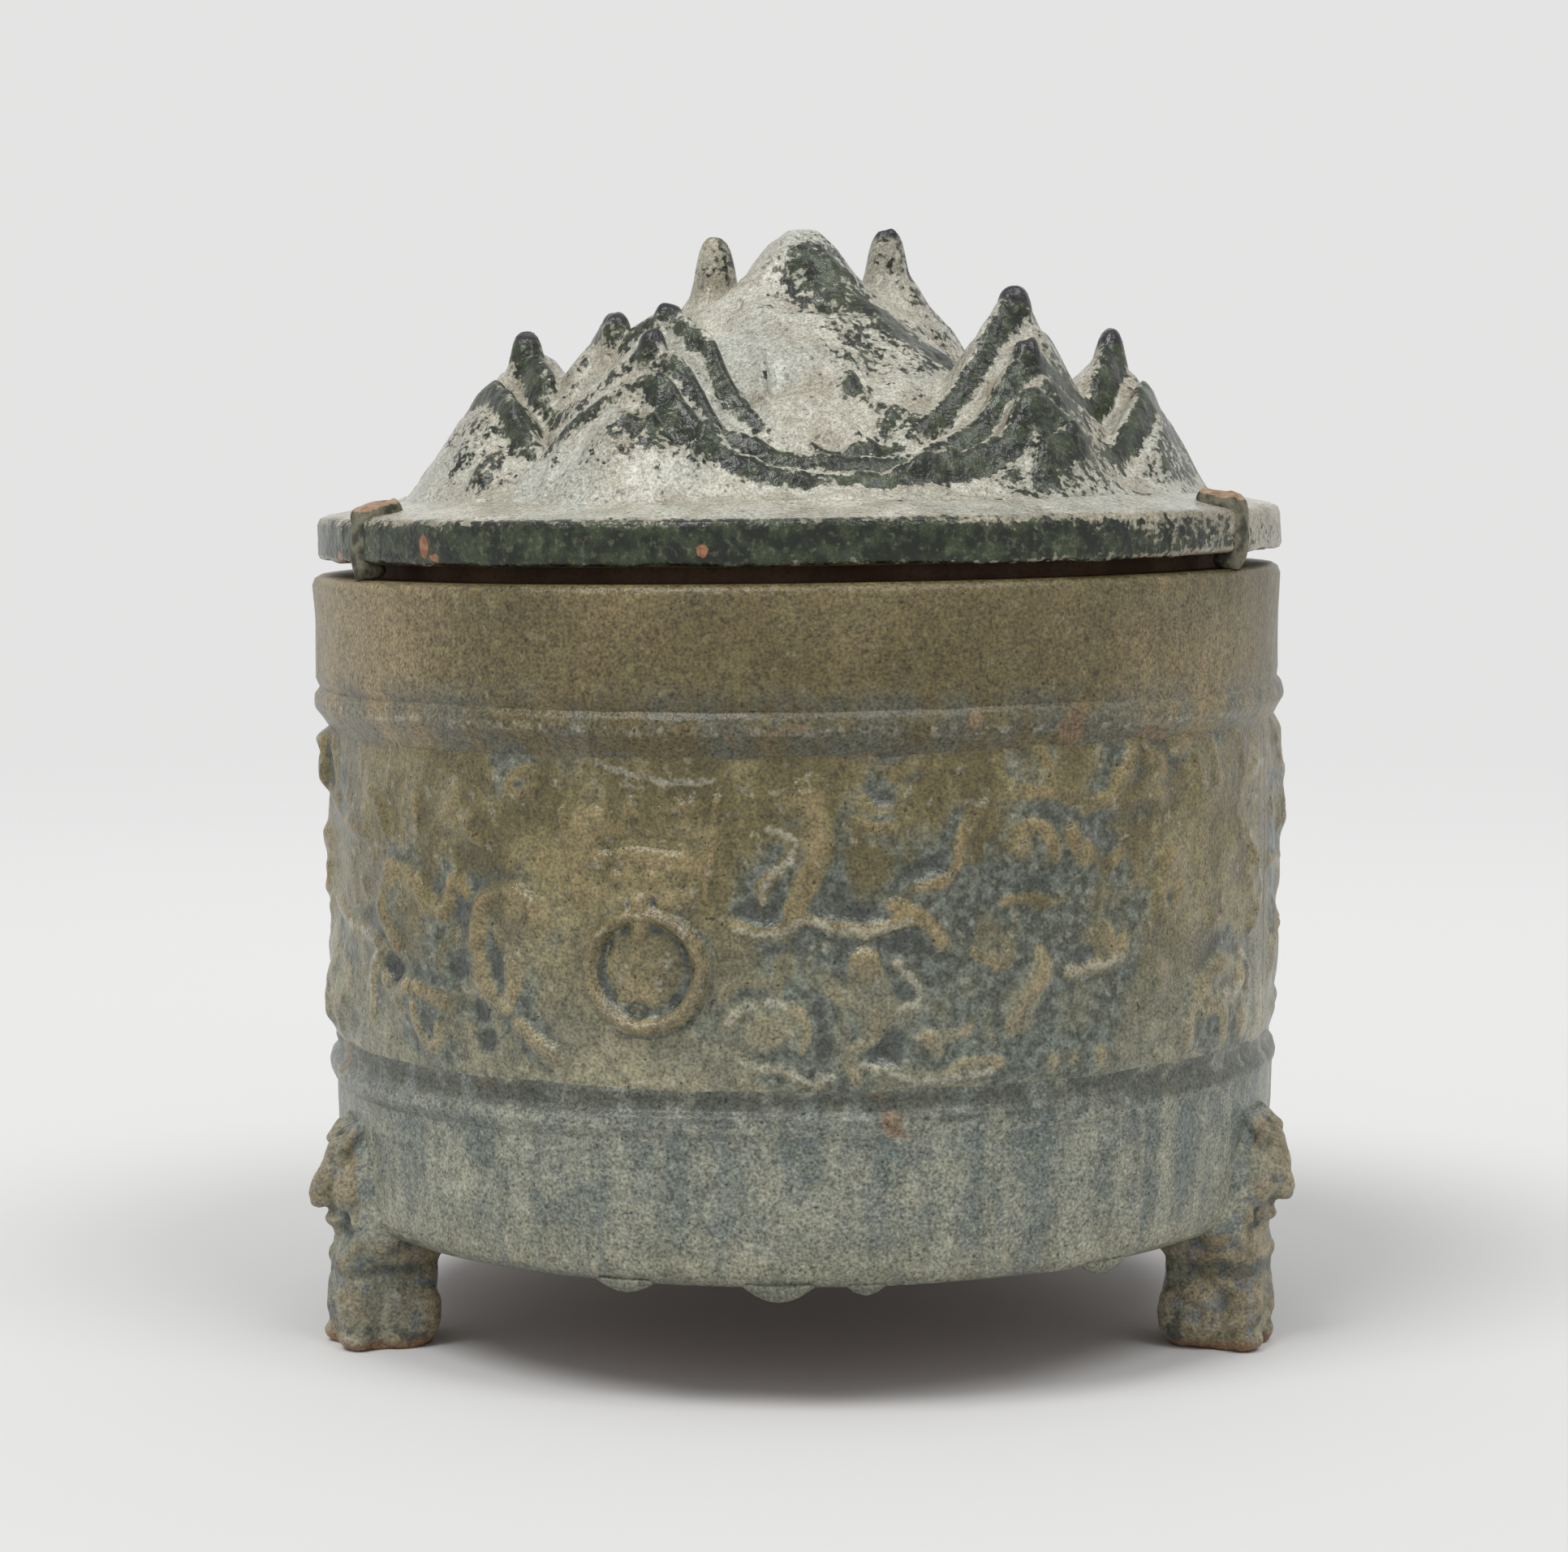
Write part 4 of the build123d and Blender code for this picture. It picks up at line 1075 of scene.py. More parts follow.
COIL_OUTLINES = {
    "lower_cordon": [
        (BASE_RADIUS - 0.6, CHANNEL_BOTTOM - 3.6),
        (BASE_RADIUS + 0.8, CHANNEL_BOTTOM - 2.2),
        (BASE_RADIUS + 1.5, CHANNEL_BOTTOM - 0.6),
        (BASE_RADIUS + 1.65, CHANNEL_BOTTOM + 0.6),
        (BASE_RADIUS + 1.3, CHANNEL_BOTTOM + 1.8),
        (BASE_RADIUS + 0.3, CHANNEL_BOTTOM + 3.0),
        (BASE_RADIUS + 0.1, CHANNEL_BOTTOM + 4.4),
        (BASE_RADIUS + 0.5, CHANNEL_BOTTOM + 6.2),
        (BASE_RADIUS + 0.2, CHANNEL_BOTTOM + 7.4),
    ],
    "upper_cordon": [
        (FRIEZE_RADIUS - 1.1, CHANNEL_TOP - 8.0),
        (FRIEZE_RADIUS - 0.1, CHANNEL_TOP - 5.6),
        (FRIEZE_RADIUS + 0.8, CHANNEL_TOP - 4.0),
        (RIM_RADIUS - 0.3, CHANNEL_TOP - 2.2),
        (RIM_RADIUS - 0.1, CHANNEL_TOP - 1.4),
        (RIM_RADIUS - 0.2, CHANNEL_TOP - 0.4),
        (RIM_RADIUS - 0.45, CHANNEL_TOP + 0.8),
        (RIM_RADIUS - 1.8, CHANNEL_TOP + 2.6),
    ],
}
for node, outline in COIL_OUTLINES.items():
    line = cordon_line(outline)
    coil_marks = {"inside": np.zeros(len(line)), "cordon": np.ones(len(line))}
    cordon = turned_ring(node + "_coil", line, WALL_COUNT, cordon_unevenness, coil_marks)
    finish_piece(cordon, "jar", [node], JAR_GLAZE)

# %% [markdown]
# The animal masks and their rings
#
# On each strip sits a taotie, a beast's mask that seems to hold a ring in its mouth. Both were pressed in
# one piece with a small mould of their own and luted on, so the ring doesn't move. The same ridge drawing
# gives the patch its height, and its border sinks just under the strip so that the two grow together.

# %% Mask and ring
MASK_RIDGES = [
    (0.7, 3.4, [(-26, 110), (-21, 111), (-14, 111.5), (-11, 111)]),
    (0.7, 3.0, [(-24.5, 104), (-19, 105), (-12.5, 104)]),
    (0.6, 2.6, [(-23, 99), (-18.5, 100), (-13.5, 99)]),
    (1.1, 0.8, [(-9.4, 116), (-9.9, 110), (-10.4, 103), (-10.8, 98)]),
    (1.1, 0.9, [(-27.6, 113.5), (-26.8, 108), (-26.2, 103), (-25.5, 97)]),
    (1.0, 2.2, [(-23, 112)]),
    (1.1, 2.4, [(-19, 113.5)]),
    (1.0, 2.4, [(-13, 114)]),
    (1.5, 1.6, [(-20.8, 101.5)]),
    (1.5, 1.6, [(-16.8, 101.5)]),
    (1.1, 1.7, [(-20.6, 96.8)]),
    (1.2, 2.2, [(-15, 97)]),
    (1.9, 1.8, [(-18.1, 96.8), (-18, 91)]),
    (-0.8, 1.3, [(-23.4, 101)]),
    (-0.8, 1.4, [(-13.6, 101)]),
    (-0.5, 1.0, [(-22.2, 107.4), (-18.8, 108.4), (-14, 107.6)]),
]
RING_X = -17.7 * ARC
RING_Z = 84.3
RING_ACROSS = 10.9
RING_UP = 10.4
MASK_GAIN = 1.25
ring_turns = np.radians(np.arange(0, 361, 12))
ring_path = [(RING_X + RING_ACROSS * math.cos(t), RING_Z + RING_UP * math.sin(t)) for t in ring_turns]
ring_ridges = [
    (2.0, 1.35, ring_path),
    (1.0, 8.0, [(RING_X, RING_Z)]),
    (-0.7, 1.6, [(-18.5 * ARC, 76.8)]),
    (-0.35, 1.2, [(-22.0 * ARC, 88.5), (-22.3 * ARC, 84.0), (-21.5 * ARC, 79.5)]),
    (-0.35, 1.2, [(-13.6 * ARC, 88.5), (-13.3 * ARC, 84.0), (-14.0 * ARC, 79.5)]),
]
MASK_LEFT, MASK_RIGHT = -29.5, -8.0
MASK_BOTTOM, MASK_TOP = 70.5, 118.5
mask_azimuths = np.linspace(MASK_LEFT, MASK_RIGHT, 150)
mask_heights = np.linspace(MASK_BOTTOM, MASK_TOP, 170)
mask_across = mask_azimuths * ARC
mask_relief = draw_ridges(mask_across, mask_heights, unrolled(MASK_RIDGES) + ring_ridges)
mask_relief = MASK_GAIN * blur(mask_relief, 1.3)
mask_ground = weathered(mask_across, mask_heights, all_ridges)
mask_ground += BODY_GAIN * draw_ridges(mask_across, mask_heights, unrolled(RELIEF_BODIES))
# The upper arc of the ring turns pale: wear and a painted highlight.
mask_wear_and_highlight = draw_ridges(mask_across, mask_heights, [(0.55, 0.5, ring_path[2:14])])
print("mask rises", mask_relief.max().round(2), "mm")


# %% Making the masks
def make_mask(name, turn, seed):
    """A closed patch that grows out of the strip."""
    lift = mask_relief - 0.2
    outer = strip_radius(mask_azimuths + turn, mask_heights, blur(mask_ground, 1.0) + lift, seed)
    shell = np.stack([outer, np.full_like(outer, CHANNEL_RADIUS + 1.0)])
    rows, columns = outer.shape
    heights = np.repeat(mask_heights[:, None], rows, axis=1)
    layers = [turned(mask_azimuths + turn, layer.T, heights).transpose(1, 0, 2) for layer in shell]
    front = stitch(rows, columns, False, False)
    border = np.concatenate(
        [
            np.arange(columns),
            np.arange(1, rows) * columns + columns - 1,
            (rows - 1) * columns + np.arange(columns - 2, -1, -1),
            np.arange(rows - 2, 0, -1) * columns,
        ]
    )
    onward = np.roll(border, -1)
    size = rows * columns
    rim = np.stack([border, border + size, onward + size, onward], axis=1)
    faces = np.vstack([front, front[:, ::-1] + size, rim[:, ::-1]])
    edges = np.concatenate([(mask_relief - blur(mask_relief, 6.0)).ravel() + 0.20, np.zeros(size)])
    worn = np.concatenate([mask_wear_and_highlight.ravel(), np.zeros(size)])
    points = np.concatenate(layers).reshape(-1, 3)
    return mesh_piece(name, points, faces, (), {"edge": edges, "worn": worn})


for side, (turn, seed) in SIDES.items():
    mask = make_mask("mask_ring_" + side + "_pressed", turn, seed)
    finish_piece(mask, "jar", ["mask_ring_" + side], RELIEF_GLAZE)

# %% [markdown]
# The bear feet
#
# The jar squats on three small bears, pressed in a two-part mould and luted under the edge. A bear is easiest
# as a heap of soft lumps: ellipsoids for haunches, knees, belly, paws, skull, snout, brow and ears. A Remesh
# modifier melts the heap into one skin, and the points are then smoothed and roughened as arrays. A mark
# records where the skin is hollow, and the glaze finish darkens it there.


# %% Lumps of clay
def lump(centre, radii, tilt=0.0, power=1.0):
    """An ellipsoid as points and faces, tilted forward by some degrees; a low power makes it boxy."""
    rings, segments = 24, 36
    up = np.linspace(0.02, np.pi - 0.02, rings)[:, None]
    round_about = np.linspace(0, 2 * np.pi, segments, endpoint=False)[None, :]
    level = np.sin(up)
    shape = [level * np.cos(round_about), level * np.sin(round_about), np.cos(up) + 0 * round_about]
    shape = np.stack(shape, axis=-1)
    shape = np.sign(shape) * np.abs(shape) ** power * np.array(radii)
    c, s = math.cos(math.radians(tilt)), math.sin(math.radians(tilt))
    shape = shape @ np.array([[c, 0, -s], [0, 1, 0], [s, 0, c]])
    points = shape.reshape(-1, 3) + np.array(centre)
    faces = [tuple(face) for face in stitch(rings, segments, False, True)]
    caps = [tuple(range(segments))[::-1], tuple(range((rings - 1) * segments, rings * segments))]
    return points, faces + caps


def limb(start, end, thick_start, thick_end):
    """Lumps in a row from one place to another."""
    start, end = np.array(start, dtype=float), np.array(end, dtype=float)
    count = max(2, int(np.linalg.norm(end - start) / 1.2))
    for part in np.linspace(0, 1, count):
        thick = thick_start + (thick_end - thick_start) * part
        yield lump(start + (end - start) * part, (thick, thick, thick))


print("one lump has", len(lump((0, 0, 0), (1, 1, 1))[0]), "points")


# %% Melting a heap
SMOOTH_ROUNDS = 2


def neighbours(values, links):
    """Average of each point's neighbours."""
    total = np.zeros_like(values)
    count = np.zeros(len(values))
    for a, b in ((0, 1), (1, 0)):
        np.add.at(total, links[:, a], values[links[:, b]])
        np.add.at(count, links[:, a], 1)
    return total / count.reshape((-1,) + (1,) * (values.ndim - 1))


def melt(lumps, voxel):
    """One smoothed skin round a heap of lumps: its points, its faces and the links between points."""
    points, faces = [], []
    for lump_points, lump_faces in lumps:
        start = sum(len(block) for block in points)
        points.append(lump_points)
        faces.extend(tuple(int(corner) + start for corner in face) for face in lump_faces)
    heap = bpy.data.meshes.new("heap")
    heap.from_pydata(np.vstack(points).tolist(), [], faces)
    holder = bpy.data.objects.new("heap", heap)
    bpy.context.scene.collection.objects.link(holder)
    remesh = holder.modifiers.new("melt", "REMESH")
    remesh.mode = "VOXEL"
    remesh.voxel_size = voxel
    skin = bpy.data.meshes.new_from_object(holder.evaluated_get(bpy.context.evaluated_depsgraph_get()))
    co = np.zeros(len(skin.vertices) * 3)
    skin.vertices.foreach_get("co", co)
    co = co.reshape(-1, 3)
    links = np.zeros(len(skin.edges) * 2, dtype=np.int64)
    skin.edges.foreach_get("vertices", links)
    links = links.reshape(-1, 2)
    quads = np.zeros(len(skin.loops), dtype=np.int64)
    skin.loops.foreach_get("vertex_index", quads)
    quads = quads.reshape(-1, 4)
    bpy.data.objects.remove(holder)
    bpy.data.meshes.remove(heap)
    bpy.data.meshes.remove(skin)
    for _ in range(SMOOTH_ROUNDS):
        co = co + 0.5 * (neighbours(co, links) - co)
    return co, quads, links


print("between 0 and 2 lies", neighbours(np.arange(3.0), np.array([[0, 1], [1, 2]]))[1])


# %% The heap for one bear
MIDDLE_LUMPS = {
    "seat": ((90.8, 0, 12.0), (10.4, 8.2, 15.0), 0, 0.5),
    "back": ((88.6, 0, 21.2), (9.0, 9.4, 5.0), 0, 0.6),
    "belly": ((94.2, 0, 20.0), (6.4, 8.0, 6.0)),
    "head": ((93.0, 0, 35.5), (7.2, 13.0, 13.0)),
    "neck": ((93.0, 0, 27.0), (6.8, 14.5, 9.0)),
    "face": ((96.8, 0, 34.6), (6.8, 8.0, 10.6)),
    "brow": ((98.4, 0, 41.2), (3.9, 5.8, 3.2), 20),
    "crown": ((96.6, 0, 45.0), (2.9, 6.8, 2.4)),
    "nose": ((104.2, 0, 31.0), (2.5, 3.0, 2.2), 25),
    "mouth": ((100.4, 0, 26.9), (2.8, 4.2, 1.8), 10),
    "chin": ((98.4, 0, 24.4), (3.0, 3.6, 2.6)),
}
SNOUT = ((100.6, 0, 41.0), (103.9, 0, 31.9), 3.2, 2.9)
SIDE_LUMPS = {
    "shin": ((97.2, 4.2, 8.2), (4.8, 4.4, 8.6), 4),
    "paw": ((97.9, 4.4, 2.2), (4.2, 4.4, 3.0)),
    "heel": ((87.6, 6.6, 7.0), (7.0, 3.0, 7.2), 0, 0.8),
    "thigh": ((89.6, 7.0, 21.0), (8.6, 3.4, 4.2), -8),
    "hand": ((98.5, 3.6, 18.6), (3.2, 3.2, 2.8)),
    "nostril": ((101.8, 2.4, 31.9), (2.0, 1.9, 1.7)),
    "cheek": ((99.8, 4.8, 32.6), (3.2, 3.1, 4.4)),
}
SIDE_LIMBS = {
    "ear": ((96.0, 5.0, 47.4), (100.4, 4.4, 43.0), 2.1, 2.1),
    "arm": ((96.0, 8.4, 25.5), (98.4, 4.6, 18.9), 2.5, 2.1),
    "inner lock": ((98.5, 6.8, 40.0), (98.6, 7.2, 27.0), 1.5, 1.9),
    "outer lock": ((96.6, 10.0, 38.0), (96.8, 9.4, 27.0), 1.2, 1.8),
}


def bear_lumps():
    """Lumps of a squatting bear that faces outwards along the first axis."""
    heap = [lump(*shape) for shape in MIDDLE_LUMPS.values()]
    heap.extend(limb(*SNOUT))
    for side in (-1, 1):
        mirror = np.array([1, side, 1])
        for centre, *shape in SIDE_LUMPS.values():
            heap.append(lump(centre * mirror, *shape))
        for start, end, *thickness in SIDE_LIMBS.values():
            heap.extend(limb(start * mirror, end * mirror, *thickness))
    return heap


BEAR_VOXEL = 0.62
EYE = (101.0, 3.4, 37.8)
EYE_SIZE = 1.3
bear_points, bear_faces, bear_links = melt(bear_lumps(), BEAR_VOXEL)
for eye_side in (-1, 1):
    eye = np.linalg.norm(bear_points - np.array([EYE[0], eye_side * EYE[1], EYE[2]]), axis=1)
    bear_points[:, 0] -= 1.0 * np.exp(-((eye / EYE_SIZE) ** 2))
print("bear skin", len(bear_points), "points")

# %% [markdown]
# The glaze of the feet
#
# On the bears the glaze is buff where hands and cloths have rubbed the rounds, almost black in the folds, and
# bluish where it pooled. The hollow mark of the skin tells folds from rounds. Near the wall the colour goes
# over into the milky glaze of the base, so that foot and jar look glazed in one go.


# %% Glaze of the feet
def foot_glaze():
    """Buff on worn rounds, near black in folds, blue-green where glaze pooled."""
    finish = Finish("foot_glaze")
    hollow = finish.mark("hollow")
    height = finish.along("Z")
    patch = finish.cloud(5.0, 8.0, 5.0)
    broad = finish.cloud(15.0, 15.0, 3.0)
    fine = finish.cloud(1.6, 18.0, 3.0)
    grain = finish.cloud(0.6, 25.0, 1.0)
    colour = finish.mix(patch.above(0.36, 0.64), (0.150, 0.128, 0.076), (0.275, 0.238, 0.154))
    colour = finish.mix(broad.above(0.42, 0.60) * 0.65, colour, (0.205, 0.218, 0.172))
    pool = finish.cloud(4.0, 35.0, 4.0).above(0.52, 0.62) * height.above(42.0, 32.0)
    colour = finish.mix(pool * 0.6, colour, (0.092, 0.122, 0.150))
    colour = finish.mix((hollow + 0.5 * fine - 0.25).above(0.02, -0.32) * 0.45, colour, (0.275, 0.220, 0.138))
    colour = finish.mix((hollow + 0.4 * fine - 0.2).above(0.10, 0.40) * 0.8, colour, (0.060, 0.064, 0.048))
    band = height.above(14.0, 16.0) * height.above(19.5, 17.5) * patch.above(0.36, 0.56)
    blot = finish.cloud(6.0, 51.0, 3.0).above(0.58, 0.66) * height.above(14.0, 6.0)
    colour = finish.mix((blot + band) * 0.7, colour, (0.045, 0.056, 0.052))
    clay_edge = (height + 3.0 * patch).above(4.2, 2.4)
    colour = finish.mix(clay_edge * 0.85, colour, (0.215, 0.118, 0.058))
    milky = finish.mix(patch.above(0.40, 0.62), (0.150, 0.172, 0.158), (0.250, 0.250, 0.192))
    milky = specked(finish, milky, 0.34)
    colour = finish.mix((finish.mark("near_wall") + 0.8 * patch - 0.4).above(0.2, 0.7), colour, milky)
    colour = finish.shade(colour, 1.5 * fine + 1.8 * grain - 0.54)
    return finish.close(colour, 0.24 + 0.26 * patch, grain * 0.4 + fine * 1.0 + patch, 0.5)


FOOT_GLAZE = foot_glaze()
print("finish", FOOT_GLAZE.name)


# %% Placing the bears
BACK_HEIGHTS = [BASE_BOTTOM, BASE_BOTTOM + 0.6, BASE_BOTTOM + 1.8, BASE_BOTTOM + 4.0]
BACK_RADII = [91.5, 93.6, 95.0, 95.8]
HOLLOW_SPREAD = 14


def hollowness(points, faces, links, spread):
    """How far the skin lies below its surroundings at each point, in millimetres."""
    normal = np.zeros_like(points)
    corners = points[faces]
    side = np.cross(corners[:, 2] - corners[:, 0], corners[:, 3] - corners[:, 1])
    for corner in range(4):
        np.add.at(normal, faces[:, corner], side)
    normal /= np.linalg.norm(normal, axis=1, keepdims=True) + 1e-9
    broad = points
    for _ in range(spread):
        broad = neighbours(broad, links)
    return np.einsum("ij,ij->i", broad - points, normal), normal


def place_bear(side, azimuth, seed):
    """Turn the bear to its place, press its back against the wall, level its soles and roughen it."""
    x = bear_points[:, 0]
    y = bear_points[:, 1]
    z = np.clip(bear_points[:, 2], 0.0, None)
    reach = np.hypot(x, y)
    edge = np.interp(z, BACK_HEIGHTS, BACK_RADII)
    behind = (z > BASE_BOTTOM) & (reach < edge)
    x = np.where(behind, x * edge / np.maximum(reach, 1e-6), x)
    y = np.where(behind, y * edge / np.maximum(reach, 1e-6), y)
    points = facing(np.stack([x, y, z], axis=1), azimuth)
    near_wall = np.clip((BASE_RADIUS + 3.6 - np.hypot(x, y)) / 2.2, 0, 1) * np.clip((z - 22.0) / 4.0, 0, 1)
    hollow, normal = hollowness(points, bear_faces, bear_links, HOLLOW_SPREAD)
    if np.einsum("ij,ij->", normal, points - points.mean(axis=0)) < 0:
        hollow, normal = -hollow, -normal
    rough = clay(points, 7.0, 0.5, seed, 3) + clay(points, 2.2, 0.16, seed + 4, 2) - 0.2
    points = points + normal * rough[:, None]
    points[:, 2] = np.clip(points[:, 2], 0.0, None)
    marks = {"hollow": hollow, "near_wall": near_wall}
    return mesh_piece("bear_foot_" + side + "_pressed", points, bear_faces, (), marks)


for number, (side, azimuth) in enumerate(FOOT_AZIMUTHS.items()):
    bear = place_bear(side, azimuth, 101 + 10 * number)
    finish_piece(bear, "jar", ["bear_foot_" + side], FOOT_GLAZE)

# %% [markdown]
# Hanging drops
#
# Where the runny glaze reached the lower edge it gathered into drops that froze there in the kiln. They could
# be sculpted by hand. Here each is a row of flat lumps along the rounded edge, deepest in its middle and
# melted like the bears, so that a drop is just a place, a length and a depth.

# %% The drops
DROPS = [(-20.5, 9.0, 1.7), (-2.5, 11.0, 2.6), (7.5, 5.0, 1.4), (38.0, 8.0, 1.8), (120.0, 8.0, 2.0)]
DROP_RADIUS = 93.4
FINE_VOXEL = 0.5
drop_lumps = []
for azimuth, length, depth in DROPS:
    for part in np.linspace(-0.5, 0.5, int(length)):
        out = directions(azimuth + part * length / ARC)
        sink = depth * (1 - (2 * part) ** 2)
        centre = (*(out * DROP_RADIUS), BASE_BOTTOM + 0.6 - sink * 0.5)
        drop_lumps.append(lump(centre, (1.9, 1.9, 0.8 + sink * 0.5)))
drop_points, drop_faces, _ = melt(drop_lumps, FINE_VOXEL)
drop_marks = {"inside": np.zeros(len(drop_points)), "cordon": np.zeros(len(drop_points))}
drops = mesh_piece("glaze_drops_hanging", drop_points, drop_faces, (), drop_marks)
finish_piece(drops, "jar", ["glaze_drops"], JAR_GLAZE)

# %% [markdown]
# The lid: brim and flange
#
# The lid is a shallow cone whose edge hangs over the rim, with a ring underneath that keeps it from sliding
# off. Both could be cut from the solids, but turned from a profile, as the wall is, every point can be nudged
# by the clay field. Where brim and mountain range meet, both follow one and the same skirt line, so no step
# shows.


# %% The skirt line
SHOULDER_RADIUS = 97.6
SHOULDER_HEIGHT = BRIM_TOP + 1.6
SKIRT_SLOPE = 0.21


def skirt_height(points, radius):
    """Height of the lid's outer slope, with its lumps."""
    line = SHOULDER_HEIGHT + SKIRT_SLOPE * (SHOULDER_RADIUS - radius)
    return line + clay(points, 15.0, 0.30, 141) + clay(points, 3.2, 0.10, 147, 2) - 0.1


print("skirt falls to", SHOULDER_HEIGHT, "mm at radius", SHOULDER_RADIUS)

# %% The brim
BRIM_LINE = profile(
    [
        (BRIM_BORE, LID_BOTTOM, 4.0),
        (LID_RADIUS - 1.4, LID_BOTTOM, 2.5),
        (LID_RADIUS - 0.5, LID_BOTTOM + 0.3, 0.5),
        (LID_RADIUS - 0.1, LID_BOTTOM + 1.1, 0.5),
        (LID_RADIUS - 0.1, BRIM_TOP - 0.2, 0.6),
        (LID_RADIUS - 0.6, BRIM_TOP + 1.0, 0.5),
        (SHOULDER_RADIUS, SHOULDER_HEIGHT, 0.6),
        (HILL_RADIUS, SHOULDER_HEIGHT + SKIRT_SLOPE * (SHOULDER_RADIUS - HILL_RADIUS), 0.8),
        (HILL_RADIUS, HILL_SEAT, 2.0),
        (BRIM_BORE, HILL_SEAT, 3.0),
    ]
)
SIDE_START = 97.0


def brim_unevenness(points, radius, height):
    """Drippy lower edge, lumpy side and the shared skirt."""
    side = np.clip((radius - SIDE_START) / 1.5, 0, 1)
    flat = np.stack([points[..., 0], points[..., 1], np.zeros_like(radius)], axis=-1)
    skirt = (height > SHOULDER_HEIGHT - 0.05) & (radius > HILL_RADIUS - 0.05)
    lift = np.where(skirt, skirt_height(flat, radius) - height, 0)
    low = np.clip((LID_BOTTOM + 3.0 - height) / 3.0, 0, 1) * side
    drip = low * (clay(flat, 9.0, 0.5, 151, 2) + 0.1)
    return side * (clay(points, 14.0, 0.30, 157) + clay(points, 3.0, 0.16, 161, 2) - 0.2), lift + drip


BRIM_COUNT = 600
brim_heights = BRIM_LINE[:, 1]
brim_side = np.clip((SHOULDER_HEIGHT + 0.2 - brim_heights) / 0.6, 0, 1)
brim_under = ((brim_heights < LID_BOTTOM + 0.4) & (BRIM_LINE[:, 0] < LID_RADIUS - 3)).astype(float)
print("brim", len(BRIM_LINE), "rows of", BRIM_COUNT, "points")

# %% [markdown]
# Glaze and chips on the lid's edge
#
# The upright edge kept most of its dark green glaze, less on its sharp corners and at the left and right.
# A few knocks went through to the orange clay. Both are marks on the points of the brim: painting an image
# would do it too, but a mark needs no unwrapping and follows the mesh.

# %% Marks of the brim
brim_edges = np.clip((LID_BOTTOM + 1.8 - brim_heights) / 1.2, 0, 1)
brim_edges += np.clip((brim_heights - BRIM_TOP + 0.3) / 0.8, 0, 1)
brim_azimuths = np.arange(BRIM_COUNT) * 360.0 / BRIM_COUNT
around = 0.42 + 0.14 * np.cos(np.radians(2 * brim_azimuths)) - 0.14 * np.sin(np.radians(brim_azimuths))
brim_upper = np.clip((brim_heights - LID_BOTTOM - 3.0) / 4.0, 0, 1)
brim_dark = 0.20 + brim_side[:, None] * (around - (0.18 * brim_edges + 0.10 * brim_upper)[:, None])
CHIPS = [
    (-45.7, 162.5, 1.4, 2.8), (-43.9, 160.2, 1.2, 1.2), (-10.2, 161.7, 1.3, 1.4), (-66.0, 159.8, 1.6, 1.6),
    (150.0, 161.0, 2.0, 2.2),
]
brim_chips = np.zeros_like(brim_dark)
for azimuth, height, half_width, half_height in CHIPS:
    away = ((brim_azimuths - azimuth + 180) % 360 - 180) * math.radians(1) * LID_RADIUS / half_width
    up = (brim_heights - height) / half_height
    brim_chips = np.maximum(brim_chips, np.exp(-(away[None, :] ** 2) - up[:, None] ** 2) * brim_side[:, None])
brim_marks = {
    "dark": brim_dark,
    "buff": brim_side,
    "tip": np.zeros(len(BRIM_LINE)),
    "under": brim_under,
    "chip": brim_chips,
}
brim = turned_ring("lid_brim_glazed", BRIM_LINE, BRIM_COUNT, brim_unevenness, brim_marks)
print("brim", brim.name, len(brim.data.vertices), "points and", len(CHIPS), "chips")

# %% The flange
FLANGE_LINE = profile(
    [
        (FLANGE_BORE, FLANGE_BOTTOM + 1.5, 3.0),
        (FLANGE_BORE + 1.2, FLANGE_BOTTOM, 1.0),
        (FLANGE_RADIUS - 1.2, FLANGE_BOTTOM, 2.0),
        (FLANGE_RADIUS, FLANGE_BOTTOM + 1.5, 1.0),
        (FLANGE_RADIUS, LID_BOTTOM, 3.0),
        (FLANGE_BORE, LID_BOTTOM, 3.0),
    ]
)


def flange_unevenness(points, radius, height):
    """Slight turning rings."""
    ring = -0.15 + 0.12 * np.sin(height * 1.3)
    return ring + clay(points, 20.0, 0.12, 171, 2), 0.0


flange = turned_ring("lid_flange_turned", FLANGE_LINE, HIDDEN_COUNT, flange_unevenness)
finish_piece(flange, "lid", ["lid_flange"], BARE_CLAY)

# %% [markdown]
# The mountain range
#
# The lid shows the mountain at the middle of the sea with its peaks stacked one behind another. On the real
# lid these are curtains of clay: each ring of hills rises steeply on its outer face, ends in a sharp crest
# and falls gently behind to the foot of the next. The range is a height field over the plan of the lid, made
# of single peaks and three such rings, with the higher of any two winning.

# %% Single peaks
SUMMIT = (0.0, 0.0, 225.0)
KNOBS = [
    (-17.6, 12, 223.8, 1.0),
    (18.2, 12, 225.4, 0.95),
    (-25.6, -34.6, 209.0, 0.85),
    (-28.6, -47.7, 202.6, 0.75),
    (-36.7, -26.0, 207.6, 0.85),
    (-55.4, -14.0, 204.6, 0.8),
    (42.6, -29.8, 210.3, 0.9),
    (44.1, -44.3, 201.2, 0.75),
    (63.6, -7.0, 202.4, 0.8),
    (47, 43, 205.0, 0.9),
    (64, 28, 196.0, 0.8),
    (4, 60, 203.0, 0.9),
    (-44, 40, 200.5, 0.9),
    (-61, 24, 195.0, 0.8),
    (2, 27, 217.0, 1.0),
]
print(1 + len(KNOBS), "peaks")

